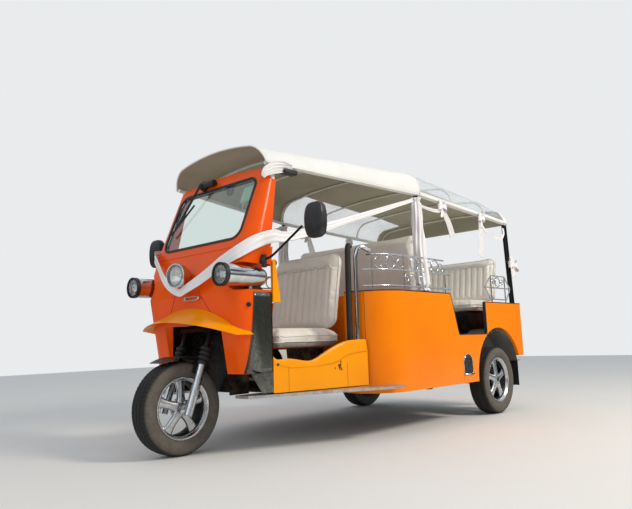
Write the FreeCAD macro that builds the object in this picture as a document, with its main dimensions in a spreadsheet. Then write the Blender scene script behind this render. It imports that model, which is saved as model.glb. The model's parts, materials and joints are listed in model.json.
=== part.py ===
# Long auto rickshaw with a crowned canvas roof, built in millimetres.
# +X points to the front, +Y to the vehicle's left and +Z up.
# The origin lies on the ground, under the middle of the vehicle.
import FreeCAD
import Part
import math
import os

import Sketcher
from FreeCAD import Placement, Rotation, Vector

document = FreeCAD.newDocument("AutoRickshaw")
sheet = document.addObject("Spreadsheet::Sheet", "Sizes")

# Driving dimensions: name, millimetres or degrees, what it measures.
DRIVING = (
    ("wheelbase", 2570, "front axle to rear axle"),
    ("rear_axle_x", -1165, "rear axle from the middle of the vehicle"),
    ("track", 1340, "between the middles of the rear tyres"),
    ("tyre_radius", 265, "outside of the tread"),
    ("tyre_width", 155, "widest part of a tyre"),
    ("rim_radius", 178, "outside of the rim flange"),
    ("rim_width", 128, "between the outer faces of the rim"),
    ("rake", 19.4, "lean of the steering axis in degrees"),
    ("fit_gap", 0.3, "clearance of a part laid on or in another"),
    ("sheet_steel", 3, "thickness of the body sheets"),
    ("panel_wall", 22, "double wall of the passenger tub"),
    ("body_half", 745, "outside of the passenger tub from the middle"),
    ("rear_face_x", -1645, "outside of the rear panel"),
    ("tub_front_x", 385, "front of the rounded tub corners"),
    ("tub_corner", 250, "radius of the tub corners in plan"),
    ("tub_low", 277, "lower edge of the tub panels"),
    ("tub_high", 933, "top edge of the tub panels"),
    ("notch_front_x", -465, "top of the doorway's front edge"),
    ("notch_foot_x", -557, "foot of the doorway's front edge"),
    ("notch_rear_x", -1000, "rear edge of the doorway"),
    ("notch_low", 631, "doorway's lower edge"),
    ("quarter_high", 885, "top edge of the rear quarters"),
    ("quarter_low", 443, "lower edge of the rear quarters"),
    ("arch_radius", 380, "wheel arch opening"),
    ("arch_rise", 38, "arch centre above the axle"),
    ("arch_setback", 30, "arch centre behind the axle"),
    ("floor_high", 400, "underside of the floor pan"),
    ("floor_sheet", 4, "thickness of the floor pan"),
    ("rail_half", 325, "middle of a chassis rail from the middle"),
    ("rail_width", 50, "width of a chassis rail"),
    ("rail_height", 70, "height of a chassis rail"),
    ("jamb_x", 1085, "rear edge of the cowl at the doorway"),
    ("cowl_half", 470, "side of the cowl from the middle"),
    ("cowl_low", 450, "lower edge of the painted cowl"),
    ("cowl_corner", 100, "radius of the cowl corners in plan"),
    ("nose_x", 1335, "front of the cowl"),
    ("shoulder_z", 910, "height at which the cowl is deepest"),
    ("peak_reach", 128, "front fender's peak ahead of the nose"),
    ("peak_half", 454, "end of the front fender's peak from the middle"),
    ("peak_join", 852, "top of the peak where it leaves the cowl"),
    ("peak_edge", 752, "front edge of the peak in its middle"),
    ("peak_low", 672, "ends of the peak"),
    ("scuttle_z", 1170, "top of the cowl, foot of the windscreen frame"),
    ("well_half", 275, "inside of the wheel well from the middle"),
    ("well_rear_x", 1104, "rear wall of the wheel well"),
    ("well_high", 735, "underside of the wheel well's roof"),
    ("screen_lean", 22.35, "lean of the windscreen in degrees"),
    ("glass_half", 375, "side edge of the windscreen glass"),
    ("glass_low", 1229, "lower edge of the windscreen glass"),
    ("glass_head", 89, "top of the windscreen frame above the glass"),
    ("glass_low_x", 1240, "windscreen surface at the glass's lower edge"),
    ("glass_thick", 6, "windscreen glass"),
    ("gasket_width", 16, "rubber round the windscreen"),
    ("frame_top", 1695, "top of the windscreen frame"),
    ("frame_arch", 23, "rise of the windscreen frame's top edge in its middle"),
    ("frame_corner", 112, "radius of the windscreen frame's upper corners"),
    ("frame_wall", 28, "depth of the windscreen frame's wall"),
    ("frame_foot_half", 490, "windscreen frame's side at its foot"),
    ("frame_head_half", 450, "windscreen frame's side at its top"),
    ("rail_front_drop", 5, "roof rail's front below the top of the windscreen frame"),
    ("rail_mid_drop", 50, "roof rail at the middle post below the frame's top"),
    ("rail_rear_drop", 94, "roof rail's rear below the frame's top"),
    ("rail_front_x", 1090, "front end of a roof rail"),
    ("mid_post_x", -165, "middle post"),
    ("rear_hoop_x", -1205, "hoop ahead of the roof's rear end"),
    ("rail_rear_x", -1645, "rear end of the canopy"),
    ("rail_front_half", 455, "canopy's hem from the middle at the front"),
    ("rail_back_half", 700, "roof rail from the middle at the middle post and behind"),
    ("rail_tube", 12, "radius of a roof rail"),
    ("hoop_tube", 8, "radius of a roof hoop"),
    ("canvas", 4, "thickness of the canopy"),
    ("rear_hem", 100, "canvas behind the clear strips"),
    ("crown_front", 148, "rise of the canopy above its rails at the front"),
    ("crown_mid", 226, "rise of the canopy at the middle post"),
    ("crown_rear_hoop", 196, "rise of the canopy over the hoop ahead of its rear end"),
    ("crown_rear", 150, "rise of the canopy at its rear end"),
    ("visor_x", 1132, "front edge of the canopy in the middle"),
    ("lamp_x", 1442, "front of the side lamps"),
    ("lamp_y", 442, "middle of a side lamp from the middle"),
    ("lamp_z", 995, "middle of a side lamp"),
    ("lamp_radius", 66, "side lamp"),
    ("lamp_length", 330, "side lamp"),
    ("lamp_room", 14, "gap between a side lamp and the hollow behind it"),
    ("head_lamp_x", 1435, "front of the headlamp"),
    ("head_lamp_z", 1028, "middle of the headlamp"),
    ("head_lamp_radius", 73, "headlamp"),
    ("head_lamp_depth", 106.6, "headlamp bowl"),
    ("seat_high", 690, "top of the driver's cushion"),
    ("seat_half", 330, "driver's seat from the middle"),
    ("seat_front_x", 900, "front of the driver's cushion"),
    ("seat_rear_x", 330, "rear of the driver's cushion"),
    ("cushion_thick", 115, "driver's cushion"),
    ("mid_seat_front_x", -370, "middle bench cushion's front end, towards its back"),
    ("mid_seat_rear_x", -720, "middle bench cushion's free edge"),
    ("rear_seat_front_x", -1085, "rear bench cushion's free edge"),
    ("rear_seat_rear_x", -1545, "rear bench cushion's rear end"),
    ("bench_thick", 110, "middle bench cushion"),
    ("rear_bench_thick", 80, "rear bench cushion"),
    ("rear_bench_rise", 60, "rear bench cushion above the middle one"),
    ("bench_half", 600, "benches from the middle"),
    ("bench_high", 850, "top of the bench cushions"),
    ("leg_outset", 122, "middle of a fork leg from the middle"),
    ("leg_radius", 25, "lower fork leg"),
    ("tube_radius", 16, "upper fork tube"),
    ("gaiter_radius", 33, "fork gaiter"),
    ("leg_length", 255, "lower fork leg above the axle"),
    ("gaiter_length", 110, "fork gaiter"),
    ("crown_reach", 470, "top of the fork crown along the steering axis"),
    ("head_reach", 500, "foot of the head tube along the steering axis"),
    ("head_length", 190, "head tube"),
    ("head_radius", 32, "head tube"),
    ("bar_reach", 800, "handlebar clamp along the steering axis"),
    ("bar_radius", 11, "handlebar tube"),
    ("bar_half", 330, "end of a grip from the middle"),
    ("bar_back", 190, "grips behind the steering axis"),
    ("bar_drop", 1108, "height of the grips"),
    ("grip_radius", 16, "hand grip"),
    ("sill_start_y", 474.5, "sill from the middle at the cowl"),
    ("sill_end_y", 610, "sill from the middle at the tub"),
    ("return_y", 430, "inner end of the tub's front return"),
    ("neck_foot_x", 1000, "foot of the frame's neck tubes"),
    ("neck_foot_y", 150, "neck tube's foot from the middle"),
    ("axle_stub", 17, "radius of a rear axle stub"),
    ("spindle", 10, "radius of the front spindle"),
    ("jack_x", -500, "middle of a jacking pad"),
    ("pad_thick", 4, "jacking pad under a rail"),
    ("plate_hole", 3.5, "radius of the number plate's holes"),
    ("plate_hole_y", 150, "number plate's holes from the middle"),
    ("plate_z", 560, "middle of the number plate"),
    ("plate_half", 180, "number plate's half width"),
    ("plate_tall", 120, "number plate"),
    ("tail_lamp_in", 560, "tail lamp's inner end from the middle"),
    ("tail_lamp_wide", 130, "tail lamp"),
    ("tail_lamp_low", 560, "tail lamp's underside"),
    ("tail_lamp_tall", 80, "tail lamp"),
    ("power_front_x", -320, "power unit's front"),
    ("power_rear_x", -820, "power unit's rear"),
    ("power_half", 170, "power unit's half width"),
    ("power_low", 230, "power unit's underside"),
)


class Size:
    """A size as a number together with the sheet formula that gives it."""

    def __init__(self, number, formula):
        self.number = float(number)
        self.formula = formula

    def __float__(self):
        return self.number

    def __add__(self, other):
        other = sized(other)
        return Size(self.number + other.number, f"({self.formula} + {other.formula})")

    def __sub__(self, other):
        other = sized(other)
        return Size(self.number - other.number, f"({self.formula} - {other.formula})")

    def __mul__(self, other):
        other = sized(other)
        return Size(self.number * other.number, f"({self.formula} * {other.formula})")

    def __truediv__(self, other):
        other = sized(other)
        return Size(self.number / other.number, f"({self.formula} / {other.formula})")

    def __neg__(self):
        return Size(-self.number, f"(0 - {self.formula})")

    def __radd__(self, other):
        return sized(other) + self

    def __rsub__(self, other):
        return sized(other) - self

    def __rmul__(self, other):
        return sized(other) * self


def sized(value):
    """Any number as a Size."""
    return value if isinstance(value, Size) else Size(value, f"({float(value)!r})")


def sine(angle):
    return Size(math.sin(math.radians(angle.number)), f"sin({angle.formula})")


def cosine(angle):
    return Size(math.cos(math.radians(angle.number)), f"cos({angle.formula})")


def tangent(angle):
    return Size(math.tan(math.radians(angle.number)), f"tan({angle.formula})")


def root(value):
    return Size(math.sqrt(value.number), f"sqrt({value.formula})")


def at(x, y, z):
    """A point from sizes or numbers."""
    return Vector(float(x), float(y), float(z))


class Names:
    """The driving dimensions by name."""


size = Names()
for row, (alias, number, note) in enumerate(DRIVING, start=1):
    sheet.set(f"A{row}", alias)
    sheet.set(f"B{row}", str(number))
    sheet.setAlias(f"B{row}", alias)
    sheet.set(f"C{row}", note)
    setattr(size, alias, Size(number, f"Sizes.{alias}"))
document.recompute()

# Places that several pieces share.
size.glass_high = size.frame_top - size.glass_head
size.rail_front_z = size.frame_top - size.rail_front_drop
size.rail_mid_z = size.frame_top - size.rail_mid_drop
size.rail_rear_z = size.frame_top - size.rail_rear_drop
front_axle_x = size.rear_axle_x + size.wheelbase
axle_z = size.tyre_radius
track_half = size.track / 2
arch_x = size.rear_axle_x - size.arch_setback
arch_z = axle_z + size.arch_rise
floor_top = size.floor_high + size.floor_sheet
rail_low = size.floor_high - size.rail_height
screen_slope = tangent(size.screen_lean)
tub_inner = size.body_half - size.panel_wall

nodes = []


def bind(thing, **sizes):
    """Ties properties of a document object to the sheet."""
    for name, value in sizes.items():
        thing.setExpression(name, sized(value).formula)


def place(thing, x=0, y=0, z=0):
    """Ties the place of a document object to the sheet."""
    for axis, value in (("x", x), ("y", y), ("z", z)):
        if isinstance(value, Size):
            thing.setExpression(f"Placement.Base.{axis}", value.formula)
        elif value:
            setattr(thing.Placement.Base, axis, float(value))


def box(x, y, z):
    """A block between the lows and highs given for each axis."""
    made = document.addObject("Part::Box", "Block")
    bind(made, Length=sized(x[1]) - x[0], Width=sized(y[1]) - y[0], Height=sized(z[1]) - z[0])
    place(made, sized(x[0]), sized(y[0]), sized(z[0]))
    return made


def drilled(axis, radius, x, y, z, length):
    """A round bar along an axis, from a point, to cut a hole with."""
    made = document.addObject("Part::Cylinder", "Bore")
    bind(made, Radius=radius, Height=length)
    heading = {"X": Vector(1, 0, 0), "Y": Vector(0, 1, 0), "Z": Vector(0, 0, 1)}[axis]
    made.Placement = Placement(Vector(), Rotation(Vector(0, 0, 1), heading))
    place(made, sized(x), sized(y), sized(z))
    return made


def coded(shape, name="Shape"):
    """A document object whose shape is worked out by Part's own functions."""
    made = document.addObject("Part::Feature", name)
    made.Shape = shape
    return made


def joined(*members):
    """One solid from several that touch."""
    made = document.addObject("Part::MultiFuse", "Joined")
    made.Shapes = list(members)
    return made


def cut(base, *tools):
    """A solid less the tools."""
    tool = tools[0] if len(tools) == 1 else joined(*tools)
    made = document.addObject("Part::Cut", "Cut")
    made.Base, made.Tool = base, tool
    return made


def mirrored(source):
    """The same piece on the other side of the vehicle."""
    made = document.addObject("Part::Mirroring", "Mirrored")
    made.Source = source
    made.Normal = Vector(0, 1, 0)
    return made


def node(label, *members):
    """A named sub-part, of one solid or of several that don't touch."""
    if len(members) == 1:
        made = members[0]
    else:
        made = document.addObject("Part::Compound", "Group")
        made.Links = list(members)
    made.Label = label
    nodes.append(made)
    return made


def pair(label, *members):
    """A named sub-part of like pieces on both sides."""
    return node(label, *members, *[mirrored(member) for member in members])


def role_plane(body, role):
    """One of a body's own origin planes."""
    return next(f for f in body.Origin.OriginFeatures if f.Role == role)


def outline(body, role, corners):
    """A sketch of straight edges through the corners (across, up, radius).

    A corner with a radius is rounded by an arc that is tangent to both its edges.
    """
    sketch = body.newObject("Sketcher::SketchObject", "Outline")
    sketch.AttachmentSupport = (role_plane(body, role), "")
    sketch.MapMode = "FlatFace"
    count = len(corners)
    spots = [Vector(float(c[0]), float(c[1]), 0) for c in corners]
    starts, ends, arcs = [], [], []
    for i, corner in enumerate(corners):
        here, back, onward = spots[i], spots[i - 1], spots[(i + 1) % count]
        if len(corner) < 3:
            starts.append(here)
            ends.append(here)
            arcs.append(None)
            continue
        to_back = (back - here).normalize()
        to_onward = (onward - here).normalize()
        half = to_back.getAngle(to_onward) / 2
        radius = float(corner[2])
        reach = radius / math.tan(half)
        first, last = here + to_back * reach, here + to_onward * reach
        centre = here + (to_back + to_onward).normalize() * (radius / math.sin(half))
        leftward = to_back.cross(to_onward).z < 0
        ends.append(first)
        starts.append(last)
        low, high = (first, last) if leftward else (last, first)
        turn = [math.atan2(p.y - centre.y, p.x - centre.x) for p in (low, high)]
        arcs.append((Part.ArcOfCircle(Part.Circle(centre, Vector(0, 0, 1), radius), *turn), leftward))
    lines = [sketch.addGeometry(Part.LineSegment(starts[i], ends[(i + 1) % count]), False)
             for i in range(count)]
    for i, corner in enumerate(corners):
        before, after = lines[i - 1], lines[i]
        if arcs[i] is None:
            sketch.addConstraint(Sketcher.Constraint("Coincident", before, 2, after, 1))
            target, spot = after, 1
        else:
            arc, leftward = arcs[i]
            curve = sketch.addGeometry(arc, False)
            first, last = (1, 2) if leftward else (2, 1)
            sketch.addConstraint(Sketcher.Constraint("Tangent", before, 2, curve, first))
            sketch.addConstraint(Sketcher.Constraint("Tangent", after, 1, curve, last))
            held = sketch.addConstraint(Sketcher.Constraint("Radius", curve, float(corner[2])))
            sketch.setExpression(f"Constraints[{held}]", sized(corner[2]).formula)
            target, spot = sketch.addGeometry(Part.Point(spots[i]), True), 1
            for line in (before, after):
                sketch.addConstraint(Sketcher.Constraint("PointOnObject", target, 1, line))
        for kind, value in (("DistanceX", corner[0]), ("DistanceY", corner[1])):
            held = sketch.addConstraint(
                Sketcher.Constraint(kind, -1, 1, target, spot, float(value)))
            sketch.setExpression(f"Constraints[{held}]", sized(value).formula)
    return sketch


# Where a pad from each origin plane starts: the axis it grows along and which end is its start.
GROWTH = {"XY_Plane": ("z", 0), "YZ_Plane": ("x", 0), "XZ_Plane": ("y", 1)}


def padded(role, corners, span, holes=()):
    """An outline on one of the origin planes, padded over the span (low, high)."""
    body = document.addObject("PartDesign::Body", "Body")
    pad = body.newObject("PartDesign::Pad", "Pad")
    pad.Profile = outline(body, role, corners)
    depth = sized(span[1]) - span[0]
    bind(pad, Length=depth)
    for hole in holes:
        pocket = body.newObject("PartDesign::Pocket", "Pocket")
        pocket.Profile = outline(body, role, hole)
        pocket.Type = "ThroughAll"
        pocket.Reversed = True
    axis, end = GROWTH[role]
    place(body, **{axis: sized(span[end])})
    return body


def turned(corners, about, x=0, y=0, z=0):
    """A profile (along, radius) turned about the X or the Y axis, or (radius, along) about Z."""
    role, axis = {"X": ("XZ_Plane", "H_Axis"), "Y": ("YZ_Plane", "H_Axis"),
                  "Z": ("XZ_Plane", "V_Axis")}[about]
    body = document.addObject("PartDesign::Body", "Body")
    revolution = body.newObject("PartDesign::Revolution", "Revolution")
    sketch = outline(body, role, corners)
    revolution.Profile = sketch
    revolution.ReferenceAxis = (sketch, [axis])
    revolution.Angle = 360
    place(body, sized(x), sized(y), sized(z))
    return body


def on_fork(thing):
    """Leans a piece that was drawn along the steering axis, from the front axle up."""
    thing.Placement = Placement(Vector(), Rotation(Vector(0, -1, 0), float(size.rake)))
    place(thing, x=front_axle_x, z=axle_z)
    thing.setExpression("Placement.Rotation.Angle", size.rake.formula)
    return thing


def steering_point(reach):
    """A point on the steering axis, by its reach from the front axle."""
    return at(front_axle_x - sine(size.rake) * reach, 0, axle_z + cosine(size.rake) * reach)


def bent_tube(points, radius, bend=None):
    """A round tube along straight runs that are joined by tangent arcs."""
    spots = [at(*p) for p in points]
    edges, start = [], spots[0]
    for back, here, onward in zip(spots, spots[1:], spots[2:]):
        to_back, to_onward = (back - here), (onward - here)
        half = to_back.getAngle(to_onward) / 2
        reach = 0.45 * min(to_back.Length, to_onward.Length)
        if bend is not None:
            reach = min(reach, float(bend) / math.tan(half))
        to_back.normalize()
        to_onward.normalize()
        first, last = here + to_back * reach, here + to_onward * reach
        turn = reach * math.tan(half)
        middle = (to_back + to_onward).normalize()
        peak = here + middle * (turn / math.sin(half) - turn)
        edges += [Part.LineSegment(start, first).toShape(), Part.Arc(first, peak, last).toShape()]
        start = last
    edges.append(Part.LineSegment(start, spots[-1]).toShape())
    path = Part.Wire(edges)
    ring = Part.Wire(Part.Circle(spots[0], spots[1] - spots[0], float(radius)).toShape())
    return path.makePipeShell([ring], True, False, 2)


def straight_tube(start, end, radius):
    """A round bar between two points."""
    start, end = at(*start), at(*end)
    return Part.makeCylinder(float(radius), (end - start).Length, start, end - start)


def fused(shapes):
    """One shape from several."""
    return shapes[0].fuse(list(shapes[1:])).removeSplitter() if len(shapes) > 1 else shapes[0]


def cowl_section(front_x, half, level, inset=0.0, rear_x=None, corner=size.cowl_corner):
    """A plan section of the cowl: flat front, two round corners, two sides and an open back."""
    front, side, height = float(front_x) - inset, float(half) - inset, float(level)
    rear = float(rear_x if rear_x is not None else size.jamb_x) - inset
    round_off = max(float(corner) - inset, 4.0)
    dip = round_off * (1 - math.sqrt(0.5))
    spots = [(rear, -side), (front - round_off, -side), (front, -side + round_off),
             (front, side - round_off), (front - round_off, side), (rear, side)]
    spots = [Vector(x, y, height) for x, y in spots]
    low = Vector(front - dip, -side + dip, height)
    high = Vector(front - dip, side - dip, height)
    edges = [Part.LineSegment(spots[0], spots[1]), Part.Arc(spots[1], low, spots[2]),
             Part.LineSegment(spots[2], spots[3]), Part.Arc(spots[3], high, spots[4]),
             Part.LineSegment(spots[4], spots[5]), Part.LineSegment(spots[5], spots[0])]
    return Part.Wire([edge.toShape() for edge in edges])


# Plan sections of the painted cowl: front, half width, height.
COWL_LEVELS = (
    (size.nose_x - 80, size.cowl_half, size.cowl_low),
    (size.nose_x, size.cowl_half, size.shoulder_z),
    (size.nose_x - 10, size.cowl_half, size.shoulder_z + 120),
    (size.nose_x - 66, size.frame_foot_half, size.scuttle_z),
)


def cowl():
    """The painted front: a sheet shell with a wheel well and hollows behind the side lamps."""
    wall = float(size.sheet_steel)
    outer = Part.makeLoft([cowl_section(*row) for row in COWL_LEVELS], True, True)
    inner_rows = [(front, half, level, wall) for front, half, level in COWL_LEVELS]
    inner = Part.makeLoft([cowl_section(*row) for row in inner_rows], True, True)
    inner_ends = [cowl_section(front, half, level, wall) for front, half, level in COWL_LEVELS]
    below = inner_ends[0].copy()
    below.translate(Vector(0, 0, -10))
    hollow = inner.fuse(Part.makeLoft([below, inner_ends[0]], True, True))
    rear_room = Part.makeBox(60, 2 * (float(size.cowl_half) - wall), 2000,
                             at(size.jamb_x - 50, wall - size.cowl_half, 0))
    lamp_front = float(size.nose_x) + 100
    scoops_out, scoops_in = [], []
    for side in (1, -1):
        start = at(size.jamb_x - 100, side * size.lamp_y, size.lamp_z)
        reach = lamp_front - start.x
        room = float(size.lamp_radius + size.lamp_room)
        scoops_out.append(Part.makeCylinder(room, reach, start, Vector(1, 0, 0)))
        scoops_in.append(Part.makeCylinder(room + wall, reach, start, Vector(1, 0, 0)))
    shell = outer.cut(scoops_out).cut(hollow.fuse(rear_room).cut(scoops_in))
    well = Part.makeBox(600, 2 * float(size.well_half), float(size.well_high - size.cowl_low) + 20,
                        at(size.well_rear_x, -size.well_half, size.cowl_low - 20))
    strip_room = Part.makeBox(400, 2000, 400, at(size.jamb_x - 420, -1000, size.lamp_z - 400))
    return shell.cut(well).cut(strip_room)


document.recompute()
node("cowl", coded(cowl(), "Cowl"))

# The wheel well's liner: an open box round the front wheel with room for the steering head.
well_outer = box((size.well_rear_x - size.sheet_steel, size.nose_x - 90),
                 (-size.well_half - size.sheet_steel, size.well_half + size.sheet_steel),
                 (rail_low, size.well_high + size.sheet_steel))
well_inner = box((size.well_rear_x, size.nose_x),
                 (-size.well_half, size.well_half), (rail_low - 10, size.well_high))
head_fit = size.head_radius + size.fit_gap
head_room = on_fork(turned(((0, 300), (head_fit, 300), (head_fit, size.bar_reach),
                            (0, size.bar_reach)), "Z"))
node("wheel_housing", cut(well_outer, well_inner, head_room))


def screen_x(level):
    """The windscreen's outer surface at a height."""
    return size.glass_low_x - screen_slope * (level - size.glass_low)


def frame_section(level, half, rear_x, corner, inset=0.0):
    """A plan section of the windscreen frame."""
    return cowl_section(screen_x(level) + 8, half, level, inset, rear_x, corner)


def screen_cutter(margin, corner, deep=400.0, lift=200.0):
    """A round-cornered block square to the windscreen, larger than the glass by a margin."""
    lean = float(size.screen_lean)
    tall = float(size.glass_high - size.glass_low) / math.cos(math.radians(lean))
    half, low, high = float(size.glass_half) + margin, -margin, tall + margin
    radius = corner + margin
    block = Part.makeBox(deep, 2 * half, high - low, Vector(-deep + lift, -half, low))
    long_edges = [edge for edge in block.Edges
                  if abs(edge.tangentAt(edge.FirstParameter).x) > 0.99]
    block = block.makeFillet(radius, long_edges)
    block.Placement = Placement(at(size.glass_low_x, 0, size.glass_low),
                                Rotation(Vector(0, 1, 0), -lean))
    return block


GLASS_CORNER = 62.0


def frame_arch(inset):
    """A block across the vehicle with the frame's front outline: round corners and an arched top."""
    radius = float(size.frame_corner) - inset
    foot, head = float(size.frame_foot_half), float(size.frame_head_half)
    eaves = float(size.frame_top - size.frame_arch) - inset
    spring = eaves - radius
    share = (spring - float(size.scuttle_z)) / float(size.frame_top - size.scuttle_z)
    side = foot + (head - foot) * share - inset
    dip = radius * (1 - math.sqrt(0.5))
    low = float(size.scuttle_z) - 20
    a, b = Vector(0, foot + 20, low), Vector(0, side, spring)
    c, d = Vector(0, side - dip, eaves - dip), Vector(0, side - radius, eaves)
    top = Vector(0, 0, float(size.frame_top) - inset)
    flip = [Vector(0, -spot.y, spot.z) for spot in (d, c, b, a)]
    edges = [Part.LineSegment(a, b), Part.Arc(b, c, d), Part.Arc(d, top, flip[0]),
             Part.Arc(*flip[:3]), Part.LineSegment(flip[2], flip[3]), Part.LineSegment(flip[3], a)]
    face = Part.Face(Part.Wire([edge.toShape() for edge in edges]))
    return face.extrude(Vector(float(size.nose_x) * 2, 0, 0))


def windscreen_frame():
    """The painted frame round the windscreen as a block, and hollow and open towards the driver."""
    wall = float(size.frame_wall)
    ends = ((size.scuttle_z, size.frame_foot_half, size.jamb_x + 15, size.cowl_corner),
            (size.frame_top, size.frame_head_half, size.jamb_x - 90, size.cowl_corner * 0.5))
    outer = Part.makeLoft([frame_section(*end) for end in ends], True, True).common(frame_arch(0.0))
    inner = Part.makeLoft([frame_section(*end, wall) for end in ends], True, True)
    opening = screen_cutter(float(size.gasket_width), GLASS_CORNER)
    return outer, outer.cut(inner.common(frame_arch(wall))).cut(opening)


frame_block, frame_shell = windscreen_frame()
node("windscreen_frame", coded(frame_shell, "WindscreenFrame"))


def screen_layer(margin_out, margin_in, front, back):
    """A ring or a plate laid in the windscreen's plane between two depths."""
    plate = screen_cutter(margin_out, GLASS_CORNER, front - back, front)
    if margin_in is None:
        return plate
    return plate.cut(screen_cutter(margin_in, GLASS_CORNER, 400.0, 200.0))


clear = float(size.fit_gap)
node("windscreen_glass", coded(screen_layer(-clear, None, 2.0, 2.0 - float(size.glass_thick))))
node("windscreen_gasket",
     coded(screen_layer(float(size.gasket_width) - clear, 0.0, 12.0, -22.0), "Gasket"))


def fender_peak():
    """The fixed peak over the front wheel: a sheet that flares out from the cowl."""
    rows = ([at(size.nose_x - 100, -size.peak_half - 24, size.peak_low + 25),
             at(size.nose_x - 40, 0, size.peak_join),
             at(size.nose_x - 100, size.peak_half + 24, size.peak_low - 5)],
            [at(size.nose_x + 20, -size.peak_half, size.peak_low + 45),
             at(size.nose_x + size.peak_reach, 0, size.peak_edge),
             at(size.nose_x + 5, size.peak_half, size.peak_low - 5)])
    skin = Part.makeRuledSurface(*[Part.Arc(*row).toShape() for row in rows])
    clear = float(size.fit_gap)
    body = Part.makeLoft([cowl_section(front, half, level, -clear)
                          for front, half, level in COWL_LEVELS], True, True)
    return skin.extrude(at(0, 0, size.sheet_steel)).cut(body)


node("fender_peak", coded(fender_peak(), "FenderPeak"))

# Polished strips down the rear half of the cowl's sides, with a foot under the paint.
strip_out = size.cowl_half + size.fit_gap
pair("kick_strips",
     padded("XZ_Plane", ((size.jamb_x, 340), (size.jamb_x + 85, 340), (size.jamb_x + 165, 449),
                         (size.jamb_x + 75, 449), (size.jamb_x + 75, 905), (size.jamb_x, 905)),
            (strip_out, strip_out + size.sheet_steel)))

# Dashboard shelf behind the windscreen's foot.
node("dashboard",
     padded("XZ_Plane", ((size.jamb_x + 118, 1112), (size.jamb_x + 177, 1098),
                         (size.jamb_x + 177, size.scuttle_z - size.fit_gap),
                         (size.jamb_x + 118, size.scuttle_z - size.fit_gap)),
            (-360, 360)))

# Lamps: a deep chrome headlamp and two torpedo lamps in the hollows.
head_lamp = turned(((-size.head_lamp_depth, 0), (-size.head_lamp_depth, size.head_lamp_radius * 0.45),
                    (-size.head_lamp_depth * 0.55, size.head_lamp_radius * 0.9),
                    (0, size.head_lamp_radius), (0, size.head_lamp_radius - 6),
                    (-18, size.head_lamp_radius - 8), (-18, 0)), "X",
                   size.head_lamp_x, 0, size.head_lamp_z)
side_lamp = turned(((-size.lamp_length, 0), (-size.lamp_length, size.lamp_radius * 0.55),
                    (-size.lamp_length + 30, size.lamp_radius * 0.86),
                    (-26, size.lamp_radius - 4), (-26, 0)), "X",
                   size.lamp_x, size.lamp_y, size.lamp_z)
lamp_foot = box((1205, 1240), (size.lamp_y - 12, size.lamp_y + 12),
                (size.lamp_z - size.lamp_radius - size.lamp_room + 1.3,
                 size.lamp_z - size.lamp_radius + 8))
side_lamp = joined(side_lamp, lamp_foot)
lamp_rim = turned(((-26, size.lamp_radius - 10), (-26, size.lamp_radius), (0, size.lamp_radius),
                   (0, size.lamp_radius - 9)), "X", size.lamp_x, size.lamp_y, size.lamp_z)
nose_trim = padded("XZ_Plane", ((size.nose_x, 893), (size.nose_x + 9, 893), (size.nose_x + 9, 911),
                                (size.nose_x, 911)), (-48, 48))
node("lamp_shells", head_lamp, side_lamp, mirrored(side_lamp), nose_trim)
pair("lamp_rims", lamp_rim)
head_lens = turned(((-18, 0), (-18, size.head_lamp_radius - 9), (0, size.head_lamp_radius - 9),
                    (3, 0)), "X", size.head_lamp_x, 0, size.head_lamp_z)
side_lens = turned(((-20, 0), (-20, size.lamp_radius - 10.5), (-4, size.lamp_radius - 10.5),
                    (-1, 0)), "X", size.lamp_x, size.lamp_y, size.lamp_z)
node("lamp_lenses", head_lens, side_lens, mirrored(side_lens))

# Mirrors on bent arms.
mirror_x, mirror_y, mirror_z = sized(1040), sized(790), sized(1290)
# Mirror arm's middle line: place along X, outside the windscreen frame's foot, height.
MIRROR_ARM = ((1165, -8.6, 1085), (1150, 55, 1100), (1120, 120, 1160), (1072, 232, 1262))
arm_path = [(x, size.frame_foot_half + out, z) for x, out, z in MIRROR_ARM]
pair("mirror_arms", coded(bent_tube(arm_path, 7), "MirrorArm"))
head_block = Part.makeBox(64, 138, 205, at(mirror_x - 38, mirror_y - 69, mirror_z - 102))
head_block = head_block.makeFillet(26, [e for e in head_block.Edges
                                        if abs(e.tangentAt(e.FirstParameter).x) > 0.99])
pair("mirror_heads", coded(head_block, "MirrorHead"))

# Wiper motor on the windscreen frame's top and its two arms.
def wiper():
    """A geared motor with its cap, and a pair of arms that carry the blade."""
    foot = at(screen_x(size.glass_high + 47) + 8 + size.fit_gap, 0, size.glass_high + 47)
    normal = Vector(cosine(size.screen_lean).number, 0, sine(size.screen_lean).number)
    down = Vector(sine(size.screen_lean).number, 0, -cosine(size.screen_lean).number)
    across = Vector(0, 1, 0)
    spot = foot + across * -150
    gear = Part.makeCylinder(31, 34, spot, normal)
    motor = Part.makeCylinder(21, 118, spot + normal * 23, across)
    spindle = Part.makeCylinder(7, 52, spot, normal)
    tip = spot + down * 292 + across * -152 + normal * 16
    arms = [straight_tube(spot + normal * 46 + across * shift, tip + across * shift, 4)
            for shift in (-9, 9)]
    along = tip - spot - normal * 16
    along.normalize()
    aside = along.cross(normal)
    blade = straight_tube(tip - along * 190 - aside * 30, tip + along * 60 + aside * 9.5, 6)
    return fused([gear, motor, spindle] + arms + [blade])


node("wiper", coded(wiper(), "Wiper"))


def tub_plan(inset):
    """The tub in plan, from the rear panel round one front corner to the return."""
    half = float(size.body_half) - inset
    front = float(size.tub_front_x) - inset
    round_off = float(size.tub_corner) - inset
    dip = round_off * (1 - math.sqrt(0.5))
    inner = float(size.return_y)
    rear = float(size.rear_face_x)
    a, b = Vector(rear, half, 0), Vector(front - round_off, half, 0)
    c, d = Vector(front, half - round_off, 0), Vector(front, inner, 0)
    return a, b, Vector(front - dip, half - dip, 0), c, d


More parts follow.
